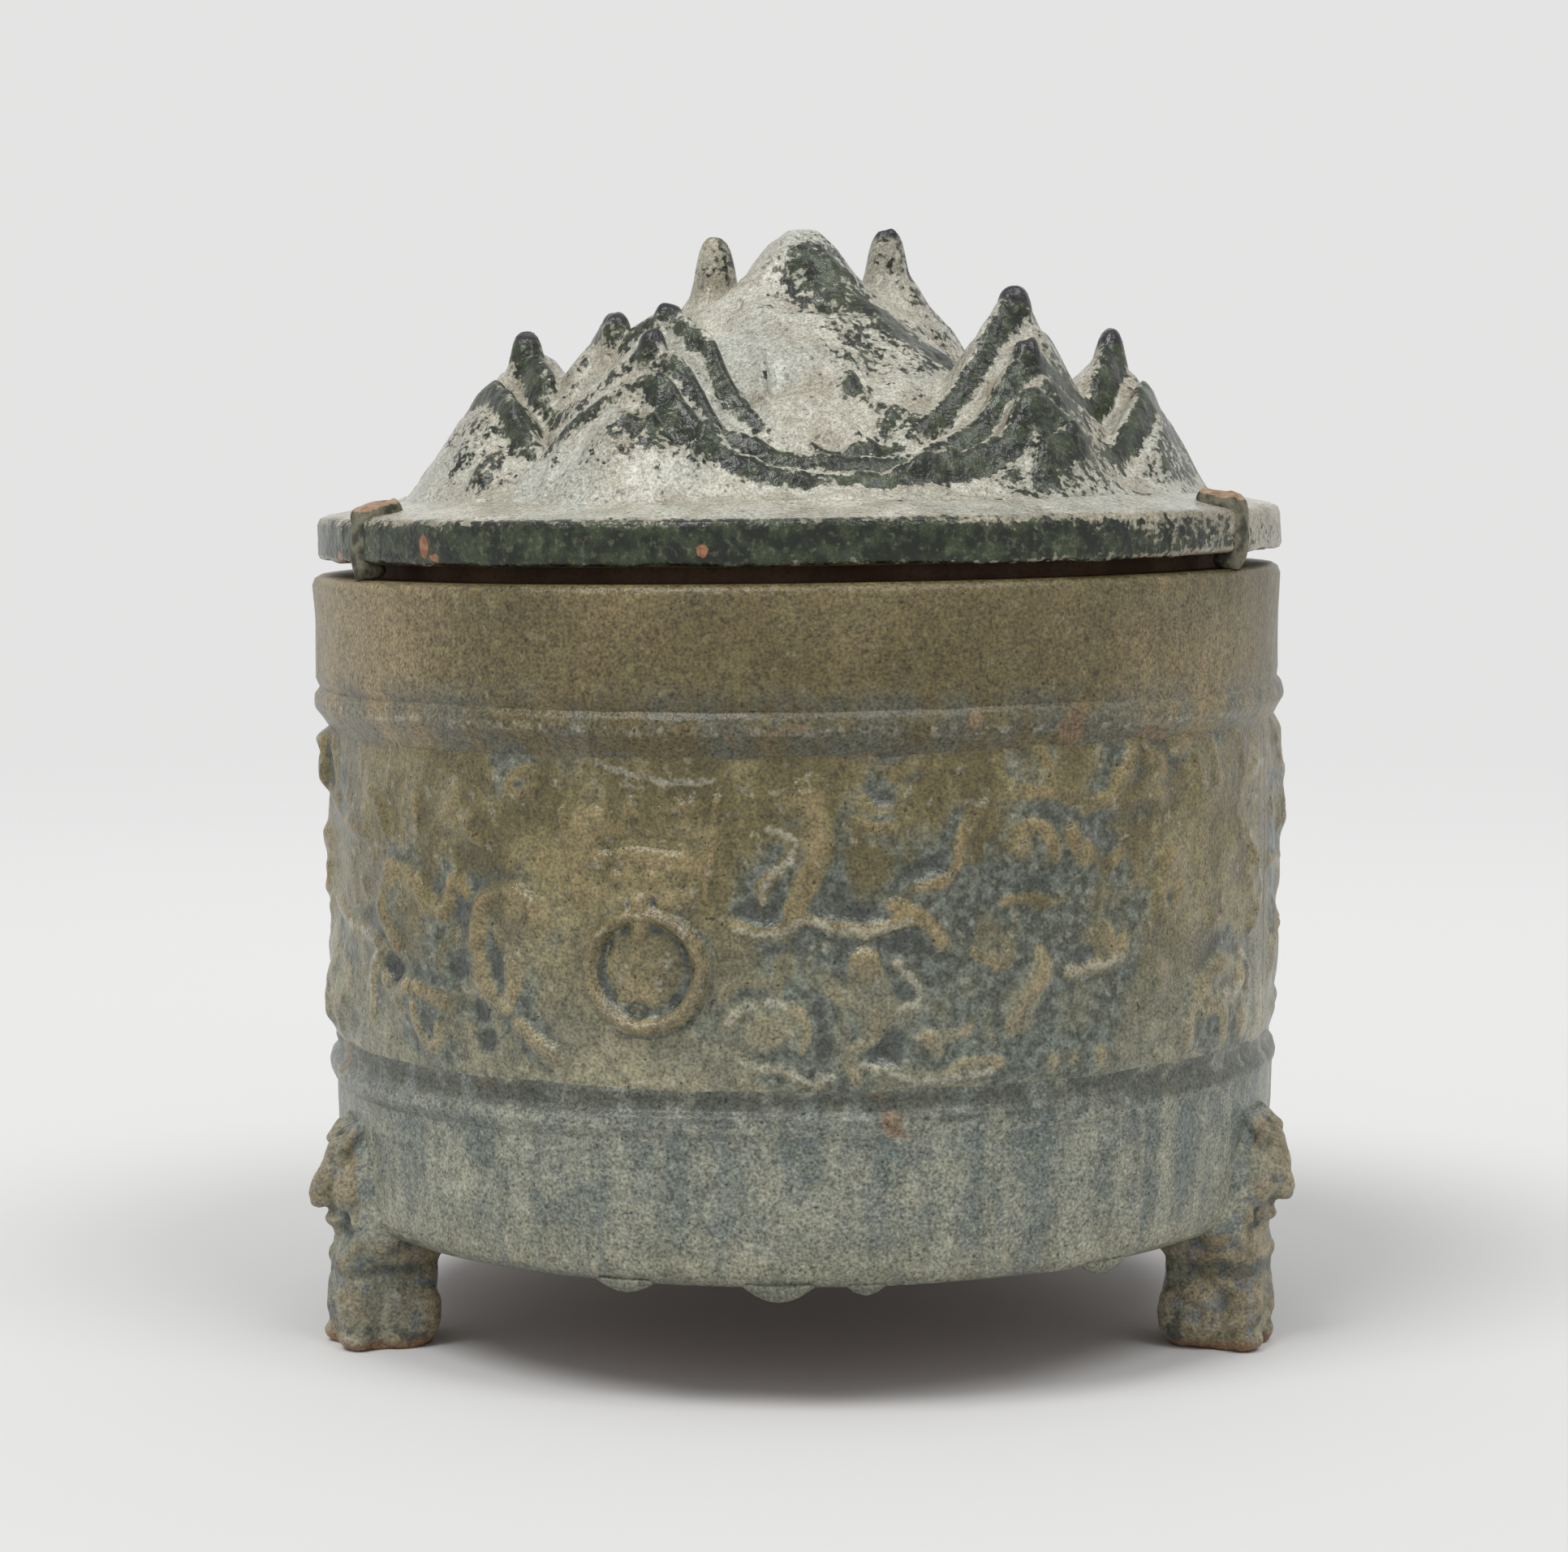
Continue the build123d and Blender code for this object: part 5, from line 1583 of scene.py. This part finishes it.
# %% Crest rings
OUTER_RING = [
    (-98, 75, 178), (-90, 73, 180.5), (-83, 71.4, 183), (-76.8, 69.8, 186), (-72.1, 68.4, 189.4),
    (-69.2, 67.5, 192.2), (-65.1, 66.6, 194.2), (-60.2, 67.1, 193.8), (-56, 67.8, 191.2),
    (-53.1, 68.6, 187.7), (-49.4, 69.6, 184.3), (-45.9, 69.8, 182.2), (-41.1, 69.3, 184.7),
    (-37.6, 68.9, 188.2), (-33.5, 67.9, 191.2), (-29.5, 66.9, 193.9), (-26.6, 66.1, 195.1),
    (-23.5, 67.1, 194.6), (-20.4, 68.5, 192.6), (-18.1, 69.5, 189.8), (-16, 70.4, 187),
    (-13, 71.6, 183.6), (-10.1, 72.7, 180.9), (-7.4, 73.6, 178.7), (-3.9, 74.3, 177), (-0.6, 74.9, 175.7),
    (4.4, 75, 175), (9.5, 75, 175.1), (14.7, 74.7, 176.1), (19.3, 74.1, 177.4), (24.3, 73.1, 179),
    (28.6, 72.3, 180.6), (31.9, 72, 182.2), (34.2, 71.7, 184), (35.4, 71.6, 187.4), (36.5, 71.5, 190.3),
    (38.2, 71.8, 192.5), (39.8, 72, 192.7), (42.1, 72.3, 190.3), (44.5, 72.6, 187), (46.8, 73, 183.6),
    (49.9, 73.6, 180.5), (56.6, 73.5, 178.8), (64.3, 72.7, 186.8), (70.5, 72, 191.4), (76, 71.5, 192.8),
    (83, 71.6, 190.8), (90, 73, 186), (97, 75, 180), (104, 74, 184), (112, 76, 178), (120, 74, 184),
    (130, 70, 191), (140, 73, 183), (150, 76, 178), (163, 74, 184), (172, 70, 192), (181, 73, 184),
    (192, 76, 178), (205, 74, 185), (214, 71, 190), (224, 75, 181), (238, 77, 177), (250, 72, 188),
    (256, 75, 181),
]
MIDDLE_RING = [
    (-106, 62, 188), (-98, 59, 195), (-90, 57.5, 200), (-82, 56.3, 203), (-76, 56, 202.1),
    (-70.7, 56.1, 199.9), (-65.7, 56.4, 197.1), (-62, 56.7, 193), (-58.9, 56.9, 189.5),
    (-54.8, 57.3, 188.6), (-46.2, 57.9, 192.1), (-41.9, 57.3, 194.8), (-37.8, 56.7, 197.5),
    (-33.8, 56.1, 200), (-30.9, 55.6, 201), (-27.5, 56.4, 199.5), (-23.6, 57.7, 197.7),
    (-20.1, 59, 194.9), (-17.3, 60.3, 191.5), (-15.4, 61.3, 188.1), (-13, 62.5, 185.3),
    (-9.6, 64.1, 182.5), (-5.5, 65.4, 180.2), (-1.6, 66.5, 179.1), (3.1, 67, 178.5), (8.8, 67, 178.4),
    (13.7, 66.6, 178.6), (18.9, 66.1, 179.7), (23.4, 65.1, 181.3), (27.2, 64.2, 183.1), (31, 63.6, 185.3),
    (34.4, 63.2, 188.1), (36.4, 63, 191.4), (38.5, 62.8, 194.8), (41.5, 62.7, 197.6), (44.9, 62.5, 199.6),
    (47, 62.5, 199), (51.4, 62.5, 196), (56.4, 62.4, 193.2), (63, 62.1, 190.4), (69.9, 62, 188.6),
    (73, 62.5, 194), (77, 63, 198.1), (83.5, 63.6, 200.6), (90, 64.4, 199), (97, 65, 193), (104, 66, 186),
    (116, 64, 188), (133, 62, 199), (150, 64, 184), (165, 62, 192), (176, 60, 200), (186, 62, 191),
    (200, 66, 182), (213, 62, 190), (222, 58, 198), (232, 62, 188), (245, 64, 183),
]
INNER_RING = [
    (-105, 46, 195), (-90, 44, 199), (-78, 42, 203), (-66, 43, 206), (-57, 45, 206.4), (-53, 45, 202.5),
    (-49.7, 45, 203.7), (-44, 44.1, 205.8), (-38.7, 43.4, 207.8), (-36.5, 43.1, 208), (-30.7, 44, 207.2),
    (-24.9, 45.1, 204.8), (-20.8, 46.9, 201.8), (-18, 48.1, 197.8), (-15.5, 49.3, 193.8),
    (-13.8, 50.3, 191.5), (-10.8, 52, 188.7), (-6.7, 54.4, 185.8), (-3, 56.2, 183.5), (3.7, 57.3, 181.2),
    (10.4, 57.8, 180.8), (16.3, 57.2, 181.6), (24, 54.7, 184.9), (29.7, 53.3, 188.3), (33.1, 52.6, 191.6),
    (37.5, 52, 195), (40.8, 52, 199.6), (43.4, 52, 203), (47.2, 52, 205.9), (51.3, 52, 207.9),
    (55.1, 52, 208.8), (61.1, 51.5, 207.5), (68, 51, 203), (78, 51, 197), (90, 51.4, 192), (102, 52, 193),
    (120, 50, 203), (140, 54, 189), (160, 48, 197), (180, 44, 206), (205, 50, 190), (225, 46, 203),
    (240, 48, 193),
]
print("crests at", len(OUTER_RING), len(MIDDLE_RING), len(INNER_RING), "places")

# %% Shapes on the plan
PLAN_HALF = 88.0
PLAN_STEP = 0.5
plan = np.arange(-PLAN_HALF, PLAN_HALF + PLAN_STEP / 2, PLAN_STEP)
plan_x, plan_y = np.meshgrid(plan, plan, indexing="ij")
plan_radius = np.hypot(plan_x, plan_y)
plan_azimuth = np.degrees(np.arctan2(plan_x, -plan_y))
plan_points = np.stack([plan_x, plan_y, np.zeros_like(plan_x)], axis=-1)


def higher(first, second, soft):
    """The higher of two surfaces, with a rounded valley between them."""
    return 0.5 * (first + second + np.sqrt((first - second) ** 2 + soft**2))


def lower(first, second, soft):
    """The lower of two surfaces, with a rounded edge between them."""
    return -higher(-first, -second, soft)


def knob(x, y, top, size):
    """A finger of clay: a rounded tip that widens into a flaring foot."""
    reach = np.hypot(plan_x - x, plan_y - y) / size
    return top - size * lower(0.02 * reach**4, 11.0 + 1.3 * (reach - 5.0), 2.5)


def dome(x, y, top):
    """The broad middle mountain."""
    reach = np.hypot(plan_x - x, plan_y - y)
    return top - lower(0.08 * reach**2, 10.5 + 0.80 * (reach - 12.0), 1.5)


def crest_ring(stations, steep):
    """A curtain of hills with a rolled crest, a groove under it and a soft back; and the distance from it."""
    turn, radius, height = np.array(stations, dtype=float).T
    fine = np.arange(-180.0, 180.0, 0.5)
    crest_radius = blur(np.interp(fine, turn, radius, period=360)[:, None], 3.0, True)[:, 0]
    crest_height = blur(np.interp(fine, turn, height, period=360)[:, None], 1.6, True)[:, 0]
    out = plan_radius - np.interp(plan_azimuth, fine, crest_radius, period=360)
    face = steep * (np.sqrt(out**2 + 2.6) - 1.6) + 2.0 * np.exp(-(((out - 3.7) / 1.3) ** 2))
    behind = 1.1 * (np.sqrt(out**2 + 1.6) - 1.26) + 1.0 * np.exp(-(((out + 2.8) / 1.1) ** 2))
    return np.interp(plan_azimuth, fine, crest_height, period=360) - np.where(out > 0, face, behind), out


print("plan of", plan_x.size, "cells")

# %% Adding the range up
skirt = skirt_height(plan_points, plan_radius)
hill = higher(skirt, dome(*SUMMIT), 3.0)
band = np.zeros_like(hill)
for ring, steep in ((INNER_RING, 1.6), (MIDDLE_RING, 1.5), (OUTER_RING, 1.45)):
    curtain, out = crest_ring(ring, steep)
    hill = higher(hill, curtain, 0.6)
    band = np.where(curtain > hill - 0.7, np.exp(-(((out - 2.2) / 1.5) ** 2)), band)
band *= np.clip(0.85 + clay(plan_points, 11.0, 0.7, 193, 2), 0.1, 1.3) * np.clip(1.1 - plan_y / 60, 0.5, 1)
for one in KNOBS:
    hill = higher(hill, knob(*one), 0.9)
inwards = np.maximum(HILL_RADIUS - plan_radius, -2.0)
hill = lower(hill, skirt + 1.2 * inwards + 0.05 * inwards**2, 1.6)
print("range from", hill.min().round(1), "to", hill.max().round(1))

# %% [markdown]
# Relief on the slopes
#
# Small beasts, trees and hollows cover the slopes, soft under the glaze. They are drawn on the plan with the
# same ridges as the frieze, and again turned round for the back. Marks then note where the glaze is dark: on
# steep faces, along the crests and in spots read off the photograph. Slopes facing right are darker too,
# partly green glaze and partly painted shade.

# %% Slope details
SLOPE_RIDGES = [
    (1.4, 2.6, [(9.9, -38.7)]),
    (1.2, 2.0, [(18.2, -46.6)]),
    (-1.3, 2.8, [(17.2, -54.3)]),
    (-1.1, 2.6, [(7.0, -56.6)]),
    (-1.2, 2.4, [(-4.0, -37.8)]),
    (1.0, 1.0, [(-9, -30), (-7, -36), (-8, -42), (-5, -48)]),
    (0.9, 0.9, [(4, -30), (6, -34), (11, -34.5), (13.5, -38), (12.5, -42)]),
    (1.0, 0.9, [(14, -44), (17, -42.5), (21, -44), (22, -48), (19, -50.5), (15.5, -49)]),
    (0.9, 1.0, [(0, -46), (3, -49), (8, -50), (11, -53)]),
    (-1.8, 3.4, [(-24.5, -68.5)]),
    (-1.4, 2.4, [(-30, -65)]),
    (-2.0, 3.2, [(49, -58.5)]),
    (2.2, 3.2, [(-34.6, -69.0), (-37, -67)]),
    (1.8, 2.6, [(-61.6, -48.5)]),
    (1.8, 1.6, [(37.8, -76.0), (44.7, -68.7), (48.4, -62.0), (54.1, -54.5)]),
    (1.0, 0.9, [(-57, -65), (-54, -62)]),
    (1.0, 0.9, [(-51.5, -70), (-49, -66), (-47, -62)]),
    (1.2, 1.1, [(-20, -74), (-17, -70), (-12, -68)]),
    (0.9, 0.9, [(22, -73), (25, -69), (29, -67)]),
    (-1.2, 2.2, [(-49, -50)]),
    (-1.0, 2.0, [(-40, -55)]),
]
SLOPE_GAIN = 2.0
turned_back = [(rise, width, [(-x, -y) for x, y in line]) for rise, width, line in SLOPE_RIDGES]
slope_relief = SLOPE_GAIN * draw_ridges(plan, plan, SLOPE_RIDGES + turned_back)
# The summit's front has a ledge, with a hollow under it.
ledge = 2.2 * np.exp(-(((plan_y + 9.0 - 0.02 * plan_x**2) / 2.2) ** 2))
ledge *= np.clip(1 - (plan_x / 14) ** 2, 0, 1)
ledge -= 3.4 * np.exp(-(((plan_y + 15.5) / 4.2) ** 2) - ((plan_x - 1.0) / 9.0) ** 2)
inside_skirt = np.clip((HILL_RADIUS - 1.0 - plan_radius) / 4.0, 0, 1)
roughness = clay(plan_points, 8.0, 1.2, 181) + clay(plan_points, 2.4, 0.22, 187, 2)
hill = hill + inside_skirt * (slope_relief + ledge + roughness)
gradient = np.gradient(hill, PLAN_STEP)
steepness = np.hypot(*gradient)
crest = hill - blur(hill, 5.0)
print("steepest slope", steepness.max().round(1))

# %% Marks of the range
PALE_SPOTS = [(-44, -48, 8, 0.16), (2, -50, 15, 0.15), (-8, -36, 10, 0.12), (-24, -76, 10, 0.08)]
DARK_SPOTS = [
    (1, -13, 8, 0.20), (8, -14, 6, 0.2), (15, -13, 6, 0.18), (22, -15, 6, 0.20), (29, -17, 7, 0.20),
    (35, -19, 6, 0.18), (9, -27, 5, 0.12), (10, -41, 4, 0.26), (18, -48, 4, 0.26), (17, -55, 4, 0.24),
    (7, -57, 4, 0.2), (-4, -38, 4, 0.2), (-50, -42, 15, 0.15), (-62, -28, 13, 0.14), (-34, -54, 10, 0.15),
    (-66, -52, 16, 0.10), (15, -26, 9, 0.14), (16, -44, 9, 0.10), (-14, -48, 4, 0.2), (-24, -70, 6, 0.26),
    (-28, -68, 5, 0.16), (48, -54, 15, 0.16), (42, -66, 9, 0.14), (66, -16, 14, 0.14),
    (-62, -10, 10, 0.10), (-42, -18, 8, 0.12),
]
BUFF_SPOTS = [
    (-17.6, 12, 8, 0.9), (18.2, 12, 8, 0.8), (-28, -46, 9, 0.5), (-30, -58, 9, 0.5), (-58, -14, 10, 0.6),
    (-62, -30, 9, 0.5), (44, -40, 13, 0.6), (46, -56, 12, 0.5), (66, -8, 12, 0.5), (70, -24, 9, 0.5),
    (-38, -24, 8, 0.4),
]


def spots(places):
    """Soft round spots on the plan, added up: place, size and strength."""
    total = np.zeros_like(hill)
    for x, y, size, share in places:
        total += share * np.exp(-(((plan_x - x) ** 2 + (plan_y - y) ** 2) / size**2))
    return total


# Slopes facing right get more of the dark mark: partly green glaze, partly painted shade.
right_slope_shade = np.clip(-gradient[0], -1.2, 1.6) / np.sqrt(1 + steepness**2)
dark = 0.19 + 0.16 * right_slope_shade + np.clip((steepness - 0.9) * 0.08, 0, 0.10)
dark = dark + np.clip(crest * 0.08, -0.12, 0.10) + 0.28 * band
dark = np.clip(dark + np.clip((plan_y - 8) / 160, 0, 0.10) + spots(DARK_SPOTS) - spots(PALE_SPOTS), 0, 1)
buff = np.clip(spots(BUFF_SPOTS) + np.clip((plan_y - 12) / 80, 0, 0.4), 0, 1)
tip = np.zeros_like(hill)
for x, y, top, _ in KNOBS[1:]:
    close = np.exp(-(((plan_x - x) ** 2 + (plan_y - y) ** 2) / 30.0))
    tip = np.maximum(tip, close * np.clip((hill - top + 3.2) / 2.2, 0, 1))
print("dark share", dark.mean().round(2))

# %% [markdown]
# The skin of the range
#
# The height field becomes a closed skin of rings from the summit out to the brim, round under it and back
# along the hollow inside. Rings fit the round lid better than a square grid would, and every point just reads
# the field by straight-line blending between its cells.


# %% Reading the field on rings
def read_plan(field, x, y):
    """Value of a plan field at given places."""
    i = np.clip((x - plan[0]) / PLAN_STEP, 0, len(plan) - 1.001)
    j = np.clip((y - plan[0]) / PLAN_STEP, 0, len(plan) - 1.001)
    i0, j0 = i.astype(int), j.astype(int)
    u, v = i - i0, j - j0
    near = field[i0, j0] * (1 - v) + field[i0, j0 + 1] * v
    far = field[i0 + 1, j0] * (1 - v) + field[i0 + 1, j0 + 1] * v
    return near * (1 - u) + far * u


print("middle of the plan", read_plan(hill, np.zeros(1), np.zeros(1)).round(1))

# %% The skin of the range
RANGE_COUNT = 640
RANGE_STEP = 0.62
HILL_EDGE = HILL_RADIUS - 0.02
HOLLOW_TOP = 171.0
UNDER_LINE = np.array(
    [
        (HILL_EDGE, 168.8),
        (HILL_EDGE, HILL_SEAT + 0.05),
        (76.2, HILL_SEAT + 0.05),
        (66.0, HOLLOW_TOP),
        (56.0, HOLLOW_TOP),
        (46.0, HOLLOW_TOP),
        (36.5, 179.7),
        (27.0, 188.5),
        (17.5, 197.3),
        (8.0, 206.0),
        (3.0, 206.8),
        (0.3, 207.0),
    ]
)
range_radii = np.concatenate([[0.3], np.arange(1.0, HILL_RADIUS - 0.2, RANGE_STEP), [HILL_EDGE]])
azimuths, under_radius, under_height = spun(UNDER_LINE, RANGE_COUNT)
flat = directions(azimuths)
top_x = range_radii[:, None] * flat[None, :, 0]
top_y = range_radii[:, None] * flat[None, :, 1]
top_skin = np.stack([top_x, top_y, read_plan(hill, top_x, top_y)], axis=-1)
under_skin = turned(azimuths, under_radius, under_height)
range_points = np.concatenate([top_skin, under_skin])
rows = len(range_points)


def range_mark(field, inside):
    """A plan field on the top skin, and one value underneath."""
    return np.concatenate([read_plan(field, top_x, top_y), np.full(under_skin.shape[:2], inside)])


range_marks = {"dark": range_mark(dark, 0), "buff": range_mark(buff, 0), "tip": range_mark(tip, 0)}
range_marks["under"] = range_mark(hill * 0, 1)
range_caps = [np.arange(RANGE_COUNT), np.arange(RANGE_COUNT)[::-1] + (rows - 1) * RANGE_COUNT]
range_faces = stitch(rows, RANGE_COUNT, False, True)
mountains = mesh_piece("lid_hill_pressed", range_points.reshape(-1, 3), range_faces, range_caps, range_marks)
print("range", mountains.name, len(mountains.data.polygons), "faces")

# %% [markdown]
# The glaze of the lid
#
# On the lid the glaze has decayed to a pale, silvery crust. It stays on the skirt and in the valleys, and has
# flaked away or turned dark green on steep faces, on the brim and on the tips. The finish asks, point by
# point, whether a flake pattern is below the dark mark, so the border between pale and dark stays ragged.


# %% Lid glaze
def lid_glaze():
    """Pale crust with dark green flakes, black tips and bare clay beneath."""
    finish = Finish("lid_glaze")
    flake = finish.cloud(1.3, 3.0, 4.0)
    ragged = finish.cloud(4.0, 7.0, 5.0)
    patch = finish.cloud(9.0, 11.0, 4.0)
    broad = finish.cloud(26.0, 18.0, 3.0)
    fine = finish.cloud(1.3, 22.0, 3.0)
    grain = finish.cloud(0.5, 29.0, 1.0)
    pale = finish.mix(patch.above(0.34, 0.66), (0.345, 0.320, 0.250), (0.490, 0.478, 0.400))
    pale = finish.mix(broad.above(0.48, 0.66) * 0.6, pale, (0.400, 0.415, 0.370))
    buff = finish.mix(patch.above(0.36, 0.64), (0.200, 0.170, 0.112), (0.325, 0.290, 0.212))
    pale = finish.mix(finish.mark("buff") * 0.85, pale, buff)
    green = finish.mix(ragged.above(0.40, 0.62), (0.006, 0.010, 0.004), (0.038, 0.053, 0.024))
    green = finish.mix(fine.above(0.54, 0.66) * 0.3, green, (0.150, 0.145, 0.098))
    worn = 1.7 * (0.50 * flake + 0.32 * ragged + 0.18 * patch) - 0.35
    cover = finish.mark("dark") + 0.08
    thick = (cover - worn).above(-0.03, 0.05)
    dusty = (cover + 0.12 - 0.6 * flake - 0.4 * ragged).above(0.0, 0.2)
    colour = finish.mix(dusty * 0.5, pale, (0.135, 0.138, 0.095))
    colour = finish.mix(thick, colour, green)
    colour = finish.shade(colour, 1.2 * fine + 1.8 * grain - 0.45)
    specks = finish.cloud(1.8, 43.0, 3.0).above(0.64, 0.69)
    colour = finish.mix(specks * 0.6, colour, (0.036, 0.036, 0.030))
    tip = finish.mark("tip")
    colour = finish.mix(tip.above(0.25, 0.7), colour, (0.014, 0.012, 0.016))
    chip = (finish.mark("chip") + 0.6 * flake - 0.3).above(0.40, 0.50)
    chip_clay = finish.mix(fine.above(0.4, 0.6), (0.240, 0.095, 0.042), (0.350, 0.165, 0.085))
    colour = finish.mix(chip, colour, chip_clay)
    under = finish.mark("under")
    colour = finish.mix(under, colour, clay_tone(finish, patch))
    rough = 0.18 - 0.02 * thick - 0.05 * tip + 0.16 * patch + 0.4 * under
    return finish.close(colour, rough, flake * 0.7 - thick * 0.2 + fine * 0.4, 0.4, 0.45)


LID_GLAZE = lid_glaze()
finish_piece(brim, "lid", ["lid_brim"], LID_GLAZE)
finish_piece(mountains, "lid", ["lid_hill"], LID_GLAZE)

# %% [markdown]
# Kiln wads
#
# In the kiln the lid was fired in place on three lumps of clay that kept the glaze from sealing it shut.
# Their broken-off stumps still cling to the lid's edge. A cut block would look too clean, so each is a few
# melted lumps, like the bears, with its top cut off along a rough plane, where the orange clay shows.


# %% Wad clay
def wad_clay():
    """Orange broken clay with glaze down the sides."""
    finish = Finish("wad_clay")
    patch = finish.cloud(3.0, 5.0, 4.0)
    grain = finish.cloud(0.8, 14.0, 2.0)
    clay_colour = finish.mix(patch.above(0.35, 0.65), (0.270, 0.160, 0.090), (0.420, 0.290, 0.195))
    glaze = finish.mix(patch.above(0.40, 0.62), (0.040, 0.046, 0.030), (0.190, 0.176, 0.124))
    colour = finish.mix((finish.mark("broken") + 0.5 * patch - 0.25).above(0.35, 0.65), glaze, clay_colour)
    colour = finish.mix(grain.above(0.5, 0.75) * 0.4, colour, (0.080, 0.055, 0.035))
    return finish.close(colour, 0.62 + 0.2 * grain, grain + patch, 0.4)


WAD_CLAY = wad_clay()
print("finish", WAD_CLAY.name)


# %% The wads
WAD_FACE = 170.2
WAD_REACH = 100.7
WAD_LUMPS = {
    "foot": ((96.6, 0, 157.6), (3.0, 3.0, 2.2)),
    "strap": ((98.4, 0, 163.0), (2.1, 3.6, 8.0)),
    "head": ((95.0, 0, 168.6), (5.0, 4.3, 3.6), 14),
    "bulge": ((97.6, -1.6, 167.8), (2.4, 2.6, 3.0)),
}


def make_wad(side, azimuth, seed):
    """A stump over the lid's edge, from the rim top up to its broken face."""
    points, faces, _ = melt([lump(*shape) for shape in WAD_LUMPS.values()], FINE_VOXEL)
    top = WAD_FACE + 0.25 * (96.0 - points[:, 0]) + clay(points, 3.0, 0.6, seed, 2)
    broken = (points[:, 2] > top - 0.3).astype(float)
    points[:, 2] = np.minimum(points[:, 2], top)
    points[:, 2] = np.maximum(points[:, 2], RIM_TOP)
    points[:, 0] = np.minimum(points[:, 0], WAD_REACH)
    placed = facing(points, azimuth)
    placed[:, :2] += clay(placed, 4.0, 0.2, seed + 5, 2)[:, None] * directions(azimuth)
    return mesh_piece("kiln_wad_" + side + "_stump", placed, faces, (), {"broken": broken})


for number, side in enumerate(("left", "right", "back")):
    centre = (node_low("kiln_wad_" + side) + node_high("kiln_wad_" + side)) / 2
    azimuth = math.degrees(math.atan2(centre[0], -centre[1]))
    wad = make_wad(side, azimuth, 201 + 11 * number)
    finish_piece(wad, "lid", ["kiln_wad_" + side], WAD_CLAY)

# %% [markdown]
# The dressed jar must not outgrow its solids.
